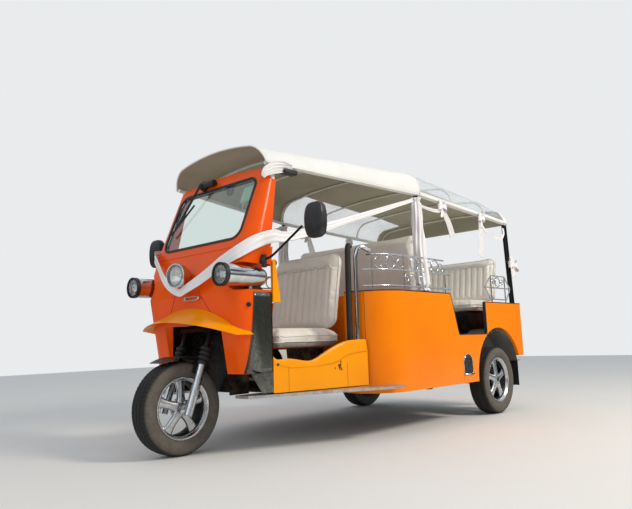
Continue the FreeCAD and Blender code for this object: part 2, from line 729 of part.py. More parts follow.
def tub_side():
    """A side of the tub: one wall in plan, cut to its side outline."""
    a, b, m, c, d = tub_plan(0.0)
    e, f, n, g, k = tub_plan(float(size.panel_wall))
    edges = [Part.LineSegment(a, b), Part.Arc(b, m, c), Part.LineSegment(c, d),
             Part.LineSegment(d, k), Part.LineSegment(k, g), Part.Arc(g, n, f),
             Part.LineSegment(f, e), Part.LineSegment(e, a)]
    wall = Part.Face(Part.Wire([edge.toShape() for edge in edges]))
    wall = wall.extrude(at(0, 0, size.tub_high - size.tub_low))
    wall.translate(at(0, 0, size.tub_low))
    above = 2000.0
    side = [(size.tub_front_x + 50, size.tub_low), (size.tub_front_x + 50, above),
            (size.notch_front_x, above), (size.notch_front_x, size.tub_high),
            (size.notch_foot_x, size.notch_low), (size.notch_rear_x, size.notch_low),
            (size.notch_rear_x, size.quarter_high), (size.rear_face_x - 50, size.quarter_high),
            (size.rear_face_x - 50, size.quarter_low), (arch_x, size.quarter_low),
            (arch_x, size.tub_low)]
    spots = [at(x, 0, z) for x, z in side]
    face = Part.Face(Part.makePolygon(spots + spots[:1]))
    keep = face.extrude(Vector(0, 2000, 0))
    arch = Part.makeCylinder(float(size.arch_radius), 2000, at(arch_x, 0, arch_z), Vector(0, 1, 0))
    return wall.common(keep).cut(arch)


pair("tub_sides", coded(tub_side(), "TubSide"))

# The bulkhead behind the driver and the rear panel close the tub.
bulkhead_x = size.tub_front_x - 215
tub_room = tub_inner - size.fit_gap
corner_inner = size.tub_corner - size.panel_wall
corner_step = bulkhead_x + 6 - size.tub_front_x + size.tub_corner
bulkhead_half = (size.body_half - size.tub_corner - size.fit_gap
                 + root(corner_inner * corner_inner - corner_step * corner_step))
bulkhead = box((bulkhead_x, bulkhead_x + 6), (-bulkhead_half, bulkhead_half),
               (floor_top + size.fit_gap, size.tub_high))
rear_panel = box((size.rear_face_x, size.rear_face_x + size.panel_wall), (-tub_room, tub_room),
                 (size.quarter_low, size.quarter_high))
plate_holes = [drilled("X", size.plate_hole, size.rear_face_x - 30, side * size.plate_hole_y,
                       size.plate_z, 100) for side in (1, -1)]
node("tub_walls", bulkhead, cut(rear_panel, *plate_holes))

# Half-round linings over the rear wheels with an inner wall, and flaps behind them.
lining_in = tub_inner - 175
lining = turned(((lining_in, size.arch_radius - 8), (tub_room, size.arch_radius - 8),
                 (tub_room, size.arch_radius - 5), (lining_in - 3, size.arch_radius - 5),
                 (lining_in - 3, 60), (lining_in, 60)), "Y", arch_x, 0, arch_z)
lining_trim = box((-3000, 3000), (0, 3000), (-3000, size.floor_high))
flap = box((size.rear_face_x + 40, size.rear_face_x + 45), (lining_in + 20, tub_inner - 20),
           (190, size.floor_high - size.fit_gap))
pair("wheel_arches", cut(lining, lining_trim))
pair("mud_flaps", flap)

# Chassis: two rails, cross members, and a neck up to the steering head.
rail = box((size.rear_face_x + 45, size.jamb_x - 60),
           (size.rail_half - size.rail_width / 2, size.rail_half + size.rail_width / 2),
           (rail_low, size.floor_high))
# Cross members by the place of their rear face.
CROSS_X = (size.rear_face_x + 45, size.rear_axle_x + 420, sized(-300), sized(330), size.jamb_x - 110)
crosses = [box((x, x + 50), (-size.rail_half, size.rail_half), (rail_low, size.floor_high))
           for x in CROSS_X]
head_low = steering_point(size.head_reach)
head_high = steering_point(size.head_reach + size.head_length)
head_tube = Part.makeCylinder(float(size.head_radius), float(size.head_length), head_low,
                              head_high - head_low)
stem_bore = Part.makeCylinder(float(size.tube_radius) + 1, 3000, steering_point(0),
                              head_high - head_low)
neck_top = steering_point(size.head_reach + size.head_length * 0.55)
necks = [bent_tube(((neck_top.x - 10, side * 14, neck_top.z),
                    (size.jamb_x - 25, side * 60, neck_top.z - 60),
                    (size.jamb_x - 60, side * 120, 520),
                    (size.neck_foot_x, side * size.neck_foot_y, size.floor_high - 20)), 19)
         for side in (1, -1)]
frame_shape = fused([head_tube] + necks).cut(stem_bore)
jack_pad = box((size.jack_x - 30, size.jack_x + 30), (size.rail_half - 22, size.rail_half + 22),
               (rail_low - size.pad_thick, rail_low))
node("chassis_frame", joined(rail, mirrored(rail), *crosses, jack_pad, mirrored(jack_pad),
                             coded(frame_shape, "Neck")))

# Floor pan, cut away over the rear wheels.
gap = size.fit_gap
sill_room = size.sheet_steel * 1.1 + gap
FLOOR = ((size.jamb_x - 5, size.sill_start_y - sill_room),
         (size.tub_front_x + gap, size.sill_end_y - sill_room),
         (size.tub_front_x + gap, size.return_y - gap),
         (size.tub_front_x - size.panel_wall - gap, size.return_y - gap),
         (size.tub_front_x - size.panel_wall - gap, tub_room, size.tub_corner - size.panel_wall),
         (arch_x + size.arch_radius + 12, tub_room),
         (arch_x + size.arch_radius + 12, lining_in - 3 - gap),
         (arch_x - size.arch_radius - 12, lining_in - 3 - gap),
         (arch_x - size.arch_radius - 12, tub_room), (size.rear_face_x + 24, tub_room))
floor_corners = FLOOR + tuple((corner[0], -corner[1], *corner[2:]) for corner in reversed(FLOOR))
neck_slot = box((size.neck_foot_x - 30, size.neck_foot_x + 34), (size.neck_foot_y - 26, size.neck_foot_y + 26),
                (size.floor_high - 10, size.floor_high + 20))
node("floor_pan", cut(padded("XY_Plane", floor_corners, (size.floor_high, floor_top)),
                      neck_slot, mirrored(neck_slot)))

# Sills under the driver's doorways, from the cowl to the tub.
def sill_panel():
    """A sheet with a waved top edge, leaning out towards the tub."""
    profile = [(0, 335), (800, 335), (800, 560), (560, 545), (470, 500), (330, 480), (90, 480),
               (50, 505), (0, 505)]
    start = at(size.jamb_x - gap, size.sill_start_y, 0)
    end = at(size.tub_front_x + gap, size.sill_end_y, 0)
    along = end - start
    length = along.Length
    along.normalize()
    spots = [start + along * min(d, length) + Vector(0, 0, z) for d, z in profile]
    face = Part.Face(Part.makePolygon(spots + spots[:1]))
    return face.extrude(Vector(along.y, -along.x, 0) * -float(size.sheet_steel))


pair("sill_panels", coded(sill_panel(), "Sill"))

# Small panels behind the jambs, above the sills.
pair("door_wedges", padded("XZ_Plane", ((size.jamb_x - 60, 850), (size.jamb_x - gap, 850),
                                        (size.jamb_x - gap, 1090), (size.jamb_x - 22, 1100)),
                           (size.frame_foot_half - 22, size.frame_foot_half - 4)))

# Running boards: light plates under the doorways, wider towards the tub.
BOARD = ((1230, 310), (1230, 420), (385, 800), (255, 800), (255, 560), (1060, 310))
running = padded("XY_Plane", BOARD, (rail_low - gap - 16, rail_low - gap))
tub_block = padded("XY_Plane", ((size.rear_face_x, -size.body_half - gap),
                                (size.tub_front_x + gap, -size.body_half - gap, size.tub_corner),
                                (size.tub_front_x + gap, size.body_half + gap, size.tub_corner),
                                (size.rear_face_x, size.body_half + gap)), (rail_low - 60, rail_low + 60))
pair("running_boards", cut(running, tub_block))

# Seats: plain closed cushions on their bases.
driver_cushion = box((size.seat_rear_x, size.seat_front_x), (-size.seat_half, size.seat_half),
                     (size.seat_high - size.cushion_thick, size.seat_high))
mid_cushion = box((size.mid_seat_rear_x, size.mid_seat_front_x), (-size.bench_half, size.bench_half),
                  (size.bench_high - size.bench_thick, size.bench_high))
rear_seat_high = size.bench_high + size.rear_bench_rise
rear_cushion = box((size.rear_seat_rear_x, size.rear_seat_front_x), (-size.bench_half, size.bench_half),
                   (rear_seat_high - size.rear_bench_thick, rear_seat_high))
node("seat_cushions", driver_cushion, mid_cushion, rear_cushion)


def leaning_back(foot_x, foot_z, top_x, top_z, thick, half):
    """A back cushion between its foot and its top, both on its front face."""
    return padded("XZ_Plane", ((foot_x, foot_z), (top_x, top_z), (top_x - thick, top_z),
                               (foot_x - thick, foot_z)), (-half, half))


# Backs: foot's place along X and height, top's place along X and height, thickness, half width.
BACKS = ((sized(395), size.seat_high + gap, sized(300), sized(1245), sized(95), size.seat_half),
         (sized(-260), size.bench_high - size.bench_thick, sized(-235), sized(1390), sized(100),
          size.bench_half),
         (sized(-1450), rear_seat_high + gap, sized(-1520), sized(1310), sized(95), size.bench_half))
node("seat_backs", *(leaning_back(*row) for row in BACKS))
# Bases under the cushions, narrower than the cushions by a toe's room.
driver_base_half, mid_base_half = size.seat_half - 60, size.bench_half - 40
rear_base_half = size.bench_half - 70
node("seat_bases",
     box((size.seat_rear_x + 100, size.seat_front_x - 80), (-driver_base_half, driver_base_half),
         (floor_top, size.seat_high - size.cushion_thick)),
     box((size.mid_seat_rear_x + 20, size.mid_seat_front_x + 95), (-mid_base_half, mid_base_half),
         (floor_top, size.bench_high - size.bench_thick)),
     box((size.rear_seat_rear_x - 15, size.rear_seat_front_x - 35), (-rear_base_half, rear_base_half),
         (floor_top, rear_seat_high - size.rear_bench_thick)))

# Roof: two side rails, cross bars and hoops carry the canopy.
roof_kink_x = size.mid_post_x - 20
rear_hoop_z = (size.rail_mid_z + (size.rail_rear_z - size.rail_mid_z)
               * (size.rear_hoop_x - roof_kink_x) / (size.rail_rear_x - roof_kink_x))
# Stations of the roof: place along X, rail height, half width, rise of the canopy.
ROOF = (
    (size.rail_front_x, size.rail_front_z, size.rail_front_half, size.crown_front),
    (roof_kink_x, size.rail_mid_z, size.rail_back_half, size.crown_mid),
    (size.rear_hoop_x, rear_hoop_z, size.rail_back_half, size.crown_rear_hoop),
    (size.rail_rear_x, size.rail_rear_z, size.rail_back_half, size.crown_rear),
)


def roof_station(x):
    """Rail height, half width and rise at a place, straight between the stations."""
    x = float(x)
    for ahead, behind in zip(ROOF, ROOF[1:]):
        if x >= float(behind[0]) or behind is ROOF[-1]:
            share = (float(ahead[0]) - x) / float(ahead[0] - behind[0])
            return [float(a) + (float(b) - float(a)) * share
                    for a, b in zip(ahead[1:], behind[1:])]


SHOULDER_IN = 120.0
CLEAR_IN = 420.0


def roof_arcs(x, lift, nose=0.0):
    """The three arcs of the roof at a place: two shoulders and the crown.

    A nose bends the section forward, most of all in the middle.
    """
    rail_z, half, rise = roof_station(x)
    half, rise = half + lift, rise + lift
    shoulder = Vector(0, half - SHOULDER_IN, 0.80 * rise)
    crown_radius = (shoulder.y ** 2 + (rise - shoulder.z) ** 2) / (2 * (rise - shoulder.z))
    inward = Vector(0, 0, rise - crown_radius) - shoulder
    inward.normalize()
    span = Vector(0, half, 0) - shoulder
    radius = span.Length ** 2 / (2 * span.dot(inward))
    centre = shoulder + inward * radius
    halfway = (shoulder + Vector(0, half, 0)) * 0.5 - centre
    elbow = centre + halfway.normalize() * radius
    spots = [Vector(x + nose * p.z / float(size.crown_front), p.y, rail_z + p.z)
             for p in (Vector(0, half, 0), elbow, shoulder, Vector(0, 0, rise))]
    low, elbow, high, top = spots
    flip = [Vector(p.x, -p.y, p.z) for p in (low, elbow, high)]
    return (low, elbow, high), (high, top, flip[2]), (flip[2], flip[1], flip[0])


def closed_section(outer, inner):
    """A wire round the cloth's thickness, from its outer and its inner arcs."""
    edges = [Part.Arc(*arc) for arc in outer]
    edges.append(Part.LineSegment(outer[-1][2], inner[-1][2]))
    edges += [Part.Arc(*arc[::-1]) for arc in inner[::-1]]
    edges.append(Part.LineSegment(inner[0][0], outer[0][0]))
    return Part.Wire([edge.toShape() for edge in edges])


def cloth(places, noses, arcs=slice(None)):
    """A stretch of canopy through sections at the places given."""
    thick = float(size.canvas)
    sections = [closed_section(roof_arcs(x, thick, nose)[arcs], roof_arcs(x, 0.0, nose)[arcs])
                for x, nose in zip(places, noses)]
    return Part.makeLoft(sections, True, True)


nose_reach = float(size.visor_x - size.rail_front_x)
front_cloth = cloth((float(size.rail_front_x), float(roof_kink_x)), (nose_reach, 0.0))
node("canopy_front", coded(front_cloth, "CanopyFront"))
rear_places = (float(roof_kink_x) - 1, float(size.rear_hoop_x), float(size.rail_rear_x))
rear_cloth = cloth(rear_places, (0.0,) * 3)
HIGH = 1000.0


def rear_gable():
    """The canvas that closes the roof's rear end, from the canopy down to the rails."""
    arcs = roof_arcs(size.rail_rear_x, float(size.canvas) / 2)
    edges = [Part.Arc(*arc) for arc in arcs] + [Part.LineSegment(arcs[-1][2], arcs[0][0])]
    face = Part.Face(Part.Wire([edge.toShape() for edge in edges]))
    return face.extrude(Vector(float(size.canvas), 0, 0))


def opaque_room(margin):
    """The room of the roof's middle band and of its rear end, wider by a margin."""
    low = float(size.rail_rear_z) - 50
    middle = Part.makeBox(4 * HIGH, 2 * (CLEAR_IN + margin), HIGH,
                          Vector(-3 * HIGH, -CLEAR_IN - margin, low))
    rear = Part.makeBox(HIGH, 2 * HIGH, HIGH,
                        at(size.rail_rear_x + size.rear_hem + margin - HIGH, -HIGH, low))
    return middle.fuse(rear)


rear_canvas = rear_cloth.common(opaque_room(0.0)).fuse(rear_gable())
node("canopy_rear", coded(rear_canvas, "CanopyRear"))
node("clear_strips", coded(rear_cloth.cut(opaque_room(0.5)), "ClearStrips"))


RAIL_BEND = 900.0


def roof_frame():
    """Side rails under the canopy's hem, with a bracket from each to the windscreen frame."""
    tubes = []
    inward = size.rail_tube + gap + 2
    seat = frame_block.copy()
    seat.translate(at(0, 0, gap))
    for side in (1, -1):
        line = [(x, side * (half - inward), z) for x, z, half in
                ((size.rail_front_x - 4, size.rail_front_z, size.rail_front_half),
                 (roof_kink_x, size.rail_mid_z, size.rail_back_half),
                 (size.rail_rear_x + 20, size.rail_rear_z, size.rail_back_half))]
        tubes.append(bent_tube(line, size.rail_tube, RAIL_BEND))
        bracket = Part.makeBox(26, 26, float(size.frame_corner),
                               at(size.jamb_x - 64, side * (size.frame_head_half - 9) - 13,
                                  size.rail_front_z - size.frame_corner))
        tubes.append(bracket.cut(seat))
    return tubes


HOOP_DROP = 16.0


def hoop(x, nose=0.0):
    """An arched bar from rail to rail at a place, under the canopy."""
    share = float(x - size.mid_post_x) / float(size.rail_front_x - size.mid_post_x)
    arcs = roof_arcs(x, -float(size.hoop_tube) - 1.2 - HOOP_DROP * max(share, 0.0), nose)
    line = Part.Wire([Part.Arc(*arc).toShape() for arc in arcs])
    start = arcs[0][0]
    heading = line.Edges[0].tangentAt(line.Edges[0].FirstParameter)
    ring = Part.Wire(Part.Circle(start, heading, float(size.hoop_tube)).toShape())
    return line.makePipeShell([ring], True, False, 2)


# Hoops by place along X and forward lean of their tops.
HOOPS = (
    (size.rail_front_x - 16, nose_reach * 0.98),
    (size.rail_front_x - 280, 0.0),
    (size.rail_front_x - 690, 0.0),
    (size.mid_post_x + 20, 0.0),
    (size.rear_hoop_x + 540, 0.0),
    (size.rear_hoop_x, 0.0),
    (size.rail_rear_x + 32, 0.0),
)
node("roof_frame", coded(fused(roof_frame() + [hoop(*row) for row in HOOPS]), "RoofFrame"))

# Posts: a wrapped middle post and twin posts at the rear on each side.
mid_rail_y = size.rail_back_half - size.rail_tube - 2 - size.fit_gap
ahead_of_kink = (size.mid_post_x - roof_kink_x) / (size.rail_front_x - roof_kink_x)
mid_top_y = mid_rail_y - (size.rail_back_half - size.rail_front_half) * ahead_of_kink
mid_top_z = size.rail_mid_z + (size.rail_front_z - size.rail_mid_z) * ahead_of_kink
pair("roof_posts",
     coded(straight_tube((size.mid_post_x, tub_inner - 17 - gap, size.tub_high - 90),
                         (size.mid_post_x, mid_top_y, mid_top_z - size.rail_tube - 2 * gap), 17),
           "MidPost"),
     coded(straight_tube((-1560, tub_inner - 13 - gap, size.quarter_high - 120),
                         (-1560, mid_rail_y, size.rail_rear_z - size.rail_tube - gap), 13)),
     coded(straight_tube((-1600, tub_inner - 13 - gap, size.quarter_high - 120),
                         (-1600, mid_rail_y, size.rail_rear_z - size.rail_tube - gap), 13)))

# Grab poles at the tub's front corners.
pair("grab_poles", coded(bent_tube(((415, 560, floor_top + gap), (425, 575, 1160), (405, 588, 1235),
                                    (330, 620, 1200)), 15, 60), "GrabPole"))


# Side railing, each row with its place along X and how far it lies inside the tub's outer face.
RAIL_LINE = ((380, 149), (330, 95), (240, 45), (100, 20), (-420, 13), (-500, 13))
RAIL_RINGS = ((220, 39), (-30, 18), (-290, 14))
# Its rails: height, how much shorter they are at the front and at the rear.
RAIL_LEVELS = ((968, 0, 0), (1075, 0, 0), (1175, 45, 90))
# Its uprights: place along X, how far inside the tub's outer face, top.
RAIL_UPRIGHTS = ((340, 105, 1175), (100, 20, 1175), (-160, 16, 1175), (-420, 13, 1075))


def railing():
    """Three bent rails with rings between them, over the long panel's top edge."""
    tub_side_y = float(size.body_half)
    tubes = []
    for level, front_cut, rear_cut in RAIL_LEVELS:
        spots = [(x - front_cut if i == 0 else x + (rear_cut if i > 3 else 0), tub_side_y - inset, level)
                 for i, (x, inset) in enumerate(RAIL_LINE)]
        tubes.append(bent_tube(spots, 6))
    for x, inset, top in RAIL_UPRIGHTS:
        y = tub_side_y - inset
        tubes.append(straight_tube((x, y, size.tub_high + gap), (x, y, top), 5))
    for x, inset in RAIL_RINGS:
        tubes.append(Part.makeTorus(44, 5, Vector(x, tub_side_y - inset, 1125), Vector(0.05, 1, 0)))
    return fused(tubes)


def rear_railing():
    """A small hexagonal rail with a ring on the rear quarter."""
    y = float(size.body_half) - 13
    spots = [(-1040, y, 1010), (-1150, y, 1110), (-1400, y, 1110), (-1500, y, 1010),
             (-1420, y, 915), (-1130, y, 915), (-1040, y, 1010)]
    tubes = [straight_tube(a, b, 5) for a, b in zip(spots, spots[1:])]
    tubes.append(straight_tube(spots[0], spots[3], 5))
    tubes.append(Part.makeTorus(40, 5, Vector(-1270, y, 1060), Vector(0, 1, 0)))
    for x in (-1150, -1400):
        tubes.append(straight_tube((x, y, size.quarter_high + gap), (x, y, 1110), 5))
    return fused(tubes)


pair("side_railings", coded(railing(), "Railing"), coded(rear_railing(), "RearRailing"))

# Rear axle: a beam with a differential, carried by leaf springs.
drum_in, drum_out, hub_end = track_half - 80, track_half - 14, track_half + 50
beam = turned(((-hub_end, 0), (-hub_end, size.axle_stub), (-drum_out, size.axle_stub), (-drum_out, 105),
               (-drum_in, 112), (-drum_in, 36), (-130, 36), (-90, 95), (90, 95), (130, 36),
               (drum_in, 36), (drum_in, 112), (drum_out, 105), (drum_out, size.axle_stub),
               (hub_end, size.axle_stub), (hub_end, 0)), "Y",
              size.rear_axle_x, 0, axle_z)
node("rear_axle", beam)
leaves = padded("XZ_Plane", ((size.rear_axle_x - 400, rail_low), (size.rear_axle_x - 380, rail_low),
                             (size.rear_axle_x - 60, axle_z + 54), (size.rear_axle_x + 60, axle_z + 54),
                             (size.rear_axle_x + 380, rail_low), (size.rear_axle_x + 400, rail_low),
                             (size.rear_axle_x + 90, axle_z + 36 + gap),
                             (size.rear_axle_x - 90, axle_z + 36 + gap)),
                (size.rail_half - 25, size.rail_half + 25))
pair("leaf_springs", leaves)
node("power_unit", box((size.power_rear_x, size.power_front_x), (-size.power_half, size.power_half),
                       (size.power_low, rail_low - 2)),
     coded(straight_tube((size.rear_axle_x + 96, 0, axle_z), (size.power_rear_x - 1, 0, axle_z + 10), 28)))

# Tail lamps and the blank number plate on the rear panel.
lamp_block = box((size.rear_face_x - 25, size.rear_face_x),
                 (size.tail_lamp_in, size.tail_lamp_in + size.tail_lamp_wide),
                 (size.tail_lamp_low, size.tail_lamp_low + size.tail_lamp_tall))
pair("tail_lamps", lamp_block)
plate_low, plate_high = size.plate_z - size.plate_tall / 2, size.plate_z + size.plate_tall / 2
number_plate = padded("YZ_Plane", ((-size.plate_half, plate_low), (size.plate_half, plate_low),
                                   (size.plate_half, plate_high), (-size.plate_half, plate_high)),
                      (size.rear_face_x - 3, size.rear_face_x))
node("number_plate", cut(number_plate, *plate_holes))

# Fork, drawn along the steering axis from the front axle up.
def fork_piece(profile, outset):
    """A turned piece on a fork leg, by its outset from the middle."""
    made = turned(profile, "Z")
    made.Placement = Placement(Vector(), Rotation(Vector(0, -1, 0), float(size.rake)))
    place(made, front_axle_x, sized(outset), axle_z)
    made.setExpression("Placement.Rotation.Angle", size.rake.formula)
    return made


leg = fork_piece(((0, -40), (size.leg_radius, -40), (size.leg_radius, size.leg_length),
                  (0, size.leg_length)), size.leg_outset)
spindle = drilled("Y", size.spindle, front_axle_x, -size.leg_outset, axle_z, size.leg_outset * 2)
node("fork_legs", joined(leg, mirrored(leg), spindle))
GAITER_RINGS = 4
ring_step = size.gaiter_length / GAITER_RINGS
gaiter_profile = [(size.tube_radius + 0.5, size.leg_length + 0.5)]
for turn in range(GAITER_RINGS):
    foot = size.leg_length + 0.5 + ring_step * turn
    gaiter_profile += [(size.gaiter_radius, foot + ring_step * 0.25),
                       (size.gaiter_radius, foot + ring_step * 0.6),
                       (size.gaiter_radius - 8, foot + ring_step * 0.95)]
gaiter_profile.append((size.tube_radius + 0.5, size.leg_length + size.gaiter_length))
gaiter_profile[1] = (size.gaiter_radius, size.leg_length + 0.5)
pair("fork_gaiters", fork_piece(tuple(gaiter_profile), size.leg_outset))
upper_profile = ((0, size.leg_length + 0.5), (size.tube_radius, size.leg_length + 0.5),
                 (size.tube_radius, size.crown_reach), (0, size.crown_reach))
upper_left = fork_piece(upper_profile, size.leg_outset)
crown_plate = on_fork(padded("XY_Plane", ((-34, size.leg_outset + 26, 14), (34, size.leg_outset + 26, 14),
                                          (34, -size.leg_outset - 26, 14),
                                          (-34, -size.leg_outset - 26, 14)), (0, 26)))
crown_plate.setExpression("Placement.Base.x",
                          (front_axle_x - sine(size.rake) * (size.crown_reach - 26)).formula)
crown_plate.setExpression("Placement.Base.z",
                          (axle_z + cosine(size.rake) * (size.crown_reach - 26)).formula)
stem = on_fork(turned(((0, size.crown_reach - 1), (size.tube_radius, size.crown_reach - 1),
                       (size.tube_radius, size.bar_reach), (0, size.bar_reach)), "Z"))
node("fork_crown", joined(upper_left, mirrored(upper_left), crown_plate, stem))
clamp = steering_point(size.bar_reach + 20 + gap)
grip_x = float(front_axle_x) - math.tan(math.radians(float(size.rake))) * (
    float(size.bar_drop) - float(axle_z)) - float(size.bar_back)
BAR = ((clamp.x, 0, clamp.z), (clamp.x - 10, 70, clamp.z + 24), (grip_x + 50, 150, size.bar_drop - 4),
       (grip_x, size.bar_half, size.bar_drop))
bar_points = [(x, -float(y), z) for x, y, z in BAR[::-1]] + list(BAR[1:])
bar_tube = bent_tube(bar_points, size.bar_radius)
node("handlebar", coded(bar_tube.fuse(Part.makeCylinder(20, 40, clamp - Vector(0, 20, 0),
                                                        Vector(0, 1, 0))).removeSplitter(), "Bar"))


def grip(side):
    """A sleeve over the end of the handlebar."""
    end = at(BAR[3][0], side * float(BAR[3][1]), BAR[3][2])
    inner = at(BAR[2][0], side * float(BAR[2][1]), BAR[2][2])
    along = (end - inner).normalize()
    start = end - along * 100
    outer = Part.makeCylinder(float(size.grip_radius), 106, start, along)
    return outer.cut(Part.makeCylinder(float(size.bar_radius) + 0.1, 100.3, start, along))


node("hand_grips", coded(grip(1), "Grip"), coded(grip(-1), "Grip"))


def mudguard():
    """A curved strip over the front tyre with a pointed tip."""
    middle = at(front_axle_x, 0, axle_z)
    inner_r = float(size.tyre_radius) + 22
    ring = Part.makeCylinder(inner_r + 4, 170, middle - Vector(0, 85, 0), Vector(0, 1, 0)).cut(
        Part.makeCylinder(inner_r, 172, middle - Vector(0, 86, 0), Vector(0, 1, 0)))
    spots = [middle, middle + Vector(250, 0, 500), middle + Vector(-330, 0, 620), middle]
    wedge = Part.Face(Part.makePolygon(spots)).extrude(Vector(0, 400, 0))
    wedge.translate(Vector(0, -200, 0))
    return ring.common(wedge)


leg_inner, gaiter_inner = size.leg_outset - size.leg_radius, size.leg_outset - size.gaiter_radius
guard_tab = on_fork(padded("YZ_Plane", ((83, 200), (leg_inner - gap, 200),
                                        (leg_inner - gap, size.leg_length - 2),
                                        (gaiter_inner - 1, size.leg_length - 2),
                                        (gaiter_inner - 1, 292), (83, 292)), (0, 28)))
node("inner_mudguard", joined(coded(mudguard(), "Mudguard"), guard_tab, mirrored(guard_tab)))


# Wheels: a tyre with a rounded tread on a spoked alloy rim.
SPOKES = 5


def tyre_profile():
    """Half-round shoulders between the bead and the tread, as (across, radius)."""
    wide, deep = size.tyre_width / 2, size.tyre_radius
    bead = size.rim_width / 2 - 6
    return ((-bead, size.rim_radius - 6), (-wide, size.rim_radius + 24, 24), (-wide, deep, 34),
            (wide, deep, 34), (wide, size.rim_radius + 24, 24), (bead, size.rim_radius - 6))


def tyre(x, y):
    return turned(tyre_profile(), "Y", x, y, axle_z)


def rim(x, y, outward, bore, hub_deep):
    """A barrel with flanges, a bored hub and five wide spokes near the outer face."""
    half = float(size.rim_width) / 2
    flange, well = float(size.rim_radius) - 6.3, float(size.rim_radius) - 22
    profile = [(-half, flange), (half, flange), (half, flange - 6), (half - 14, well - 4),
               (-half + 14, well - 4), (-half, flange - 6)]
    spots = [Vector(0, a, r) for a, r in profile]
    barrel = Part.Face(Part.makePolygon(spots + spots[:1])).revolve(Vector(), Vector(0, 1, 0), 360)
    face = outward * (half - 30)
    hub_start = face + outward * 23
    hub = Part.makeCylinder(52, float(hub_deep), Vector(0, hub_start, 0), Vector(0, -outward, 0))
    spokes = []
    for number in range(SPOKES):
        low, high = 24.0, 34.0
        spots = [Vector(-low, 0, 30), Vector(low, 0, 30), Vector(high, 0, well + 1),
                 Vector(-high, 0, well + 1)]
        spoke = Part.Face(Part.makePolygon(spots + spots[:1])).extrude(Vector(0, 22, 0))
        spoke.translate(Vector(0, face - 8, 0))
        spoke.rotate(Vector(), Vector(0, 1, 0), 360 / SPOKES * number)
        spokes.append(spoke)
    through = Part.makeCylinder(float(bore) + 0.05, 400, Vector(0, -200, 0), Vector(0, 1, 0))
    shape = barrel.fuse([hub] + spokes).removeSplitter().cut(through)
    shape.translate(at(x, y, axle_z))
    return coded(shape, "Rim")


# Wheels by name: place along X, place across, the side that faces out, bore and hub's depth.
WHEELS = (
    ("front", front_axle_x, sized(0), 1, size.spindle, 110),
    ("rear_left", size.rear_axle_x, track_half, 1, size.axle_stub, 46),
    ("rear_right", size.rear_axle_x, -track_half, -1, size.axle_stub, 46),
)
for name, x, y, outward, bore, hub_deep in WHEELS:
    node(f"{name}_tyre", tyre(x, y))
    node(f"{name}_rim", rim(x, y, outward, bore, hub_deep))

# Ribbons: flat bands by their middles and widths along the way, and knots of gathered net.
# Each row: place along X, place across, height, width.
NOSE_BAND = (
    (1384, 0, 926, 40), (1372, 50, 942, 42), (1350, 102, 994, 46), (1330, 166, 1056, 52),
    (1314, 330, 1116, 54), (1286, 437, 1165, 52), (1205, 489.7, 1206, 50), (1085, 488.5, 1238, 46),
    (860, 512, 1266, 40), (-144.7, 681, 1605, 24),
)
MID_SWAG = ((-183.4, 684, 1572, 20), (-300, 696, 1556, 22), (-440, 700, 1560, 26), (-492, 690, 1600, 26))
MID_TAIL = ((-478, 690, 1617.2, 30), (-492, 691, 1590, 34), (-545, 712, 1490, 52), (-600, 714, 1380, 60))
REAR_SWAG = ((-1102, 690, 1590, 24), (-1180, 704, 1480, 24), (-1400, 708, 1450, 26),
             (-1500, 702, 1490, 26), (-1537.9, 688, 1556, 20))
REAR_TAIL = ((-1108, 690, 1597, 40), (-1085, 704, 1450, 70), (-1050, 704, 1260, 84))


def band(rows):
    """A thin band whose width stands upright along a line."""
    thick = 2.0
    sections = []
    for number, (x, y, z, width) in enumerate(rows):
        before, after = rows[max(number - 1, 0)], rows[min(number + 1, len(rows) - 1)]
        along = at(*after[:3]) - at(*before[:3])
        upward = Vector(0, 0, 1) if abs(along.z) < 0.7 * along.Length else Vector(1, 0, 0.3)
        outward = along.cross(upward).normalize() * thick
        rise = outward.cross(along).normalize() * (width / 2)
        middle = at(x, y, z)
        spots = [middle - rise, middle + rise, middle + rise + outward, middle - rise + outward]
        sections.append(Part.makePolygon(spots + spots[:1]))
    return Part.makeLoft(sections, True, True)


nose_band = [(x, -y, z, width) for x, y, z, width in NOSE_BAND[:0:-1]] + list(NOSE_BAND)
ribbon_sides = [coded(fused([band(rows) for rows in side]))
                for side in ((MID_SWAG, MID_TAIL), (REAR_SWAG, REAR_TAIL))]
node("ribbons", coded(band(nose_band)), *ribbon_sides, *[mirrored(side) for side in ribbon_sides])

document.recompute()
os.makedirs("parts", exist_ok=True)
failed = [thing.Label for thing in document.Objects
          if "Invalid" in thing.State or "Error" in thing.State]
for made in nodes:
    if made.Shape.isNull() or not made.Shape.isValid() or not made.Shape.Solids:
        failed.append(made.Label)
if failed:
    raise RuntimeError(f"objects that failed: {failed}")
for made in nodes:
    made.Shape.exportStep(f"parts/{made.Label}.step")
    room = made.Shape.BoundBox
    print(f"{made.Label:20s} {len(made.Shape.Solids)} solids {made.Shape.Volume / 1e6:8.2f} dm3"
          f"  x {room.XMin:7.0f} {room.XMax:7.0f}  y {room.YMin:6.0f} {room.YMax:6.0f}"
          f"  z {room.ZMin:6.0f} {room.ZMax:6.0f}")
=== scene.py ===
# %% [markdown]
# # A long auto rickshaw, dressed for a wedding
#
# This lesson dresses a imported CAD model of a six-seat auto rickshaw. The CAD nodes are a fixed frame: they
# keep their shape and place, and get real finishes. What the CAD can't hold, such as pleated vinyl, canvas,
# tyre tread, bows and chrome scrolls, is worked out here with numpy and rides on the CAD's bodies.
# All lengths are metres, X points to the front, Y to the vehicle's left and Z up.

# %% Load the frame
import json
import math

import bpy
import numpy as np
from mathutils import Matrix, Vector
from mathutils.bvhtree import BVHTree

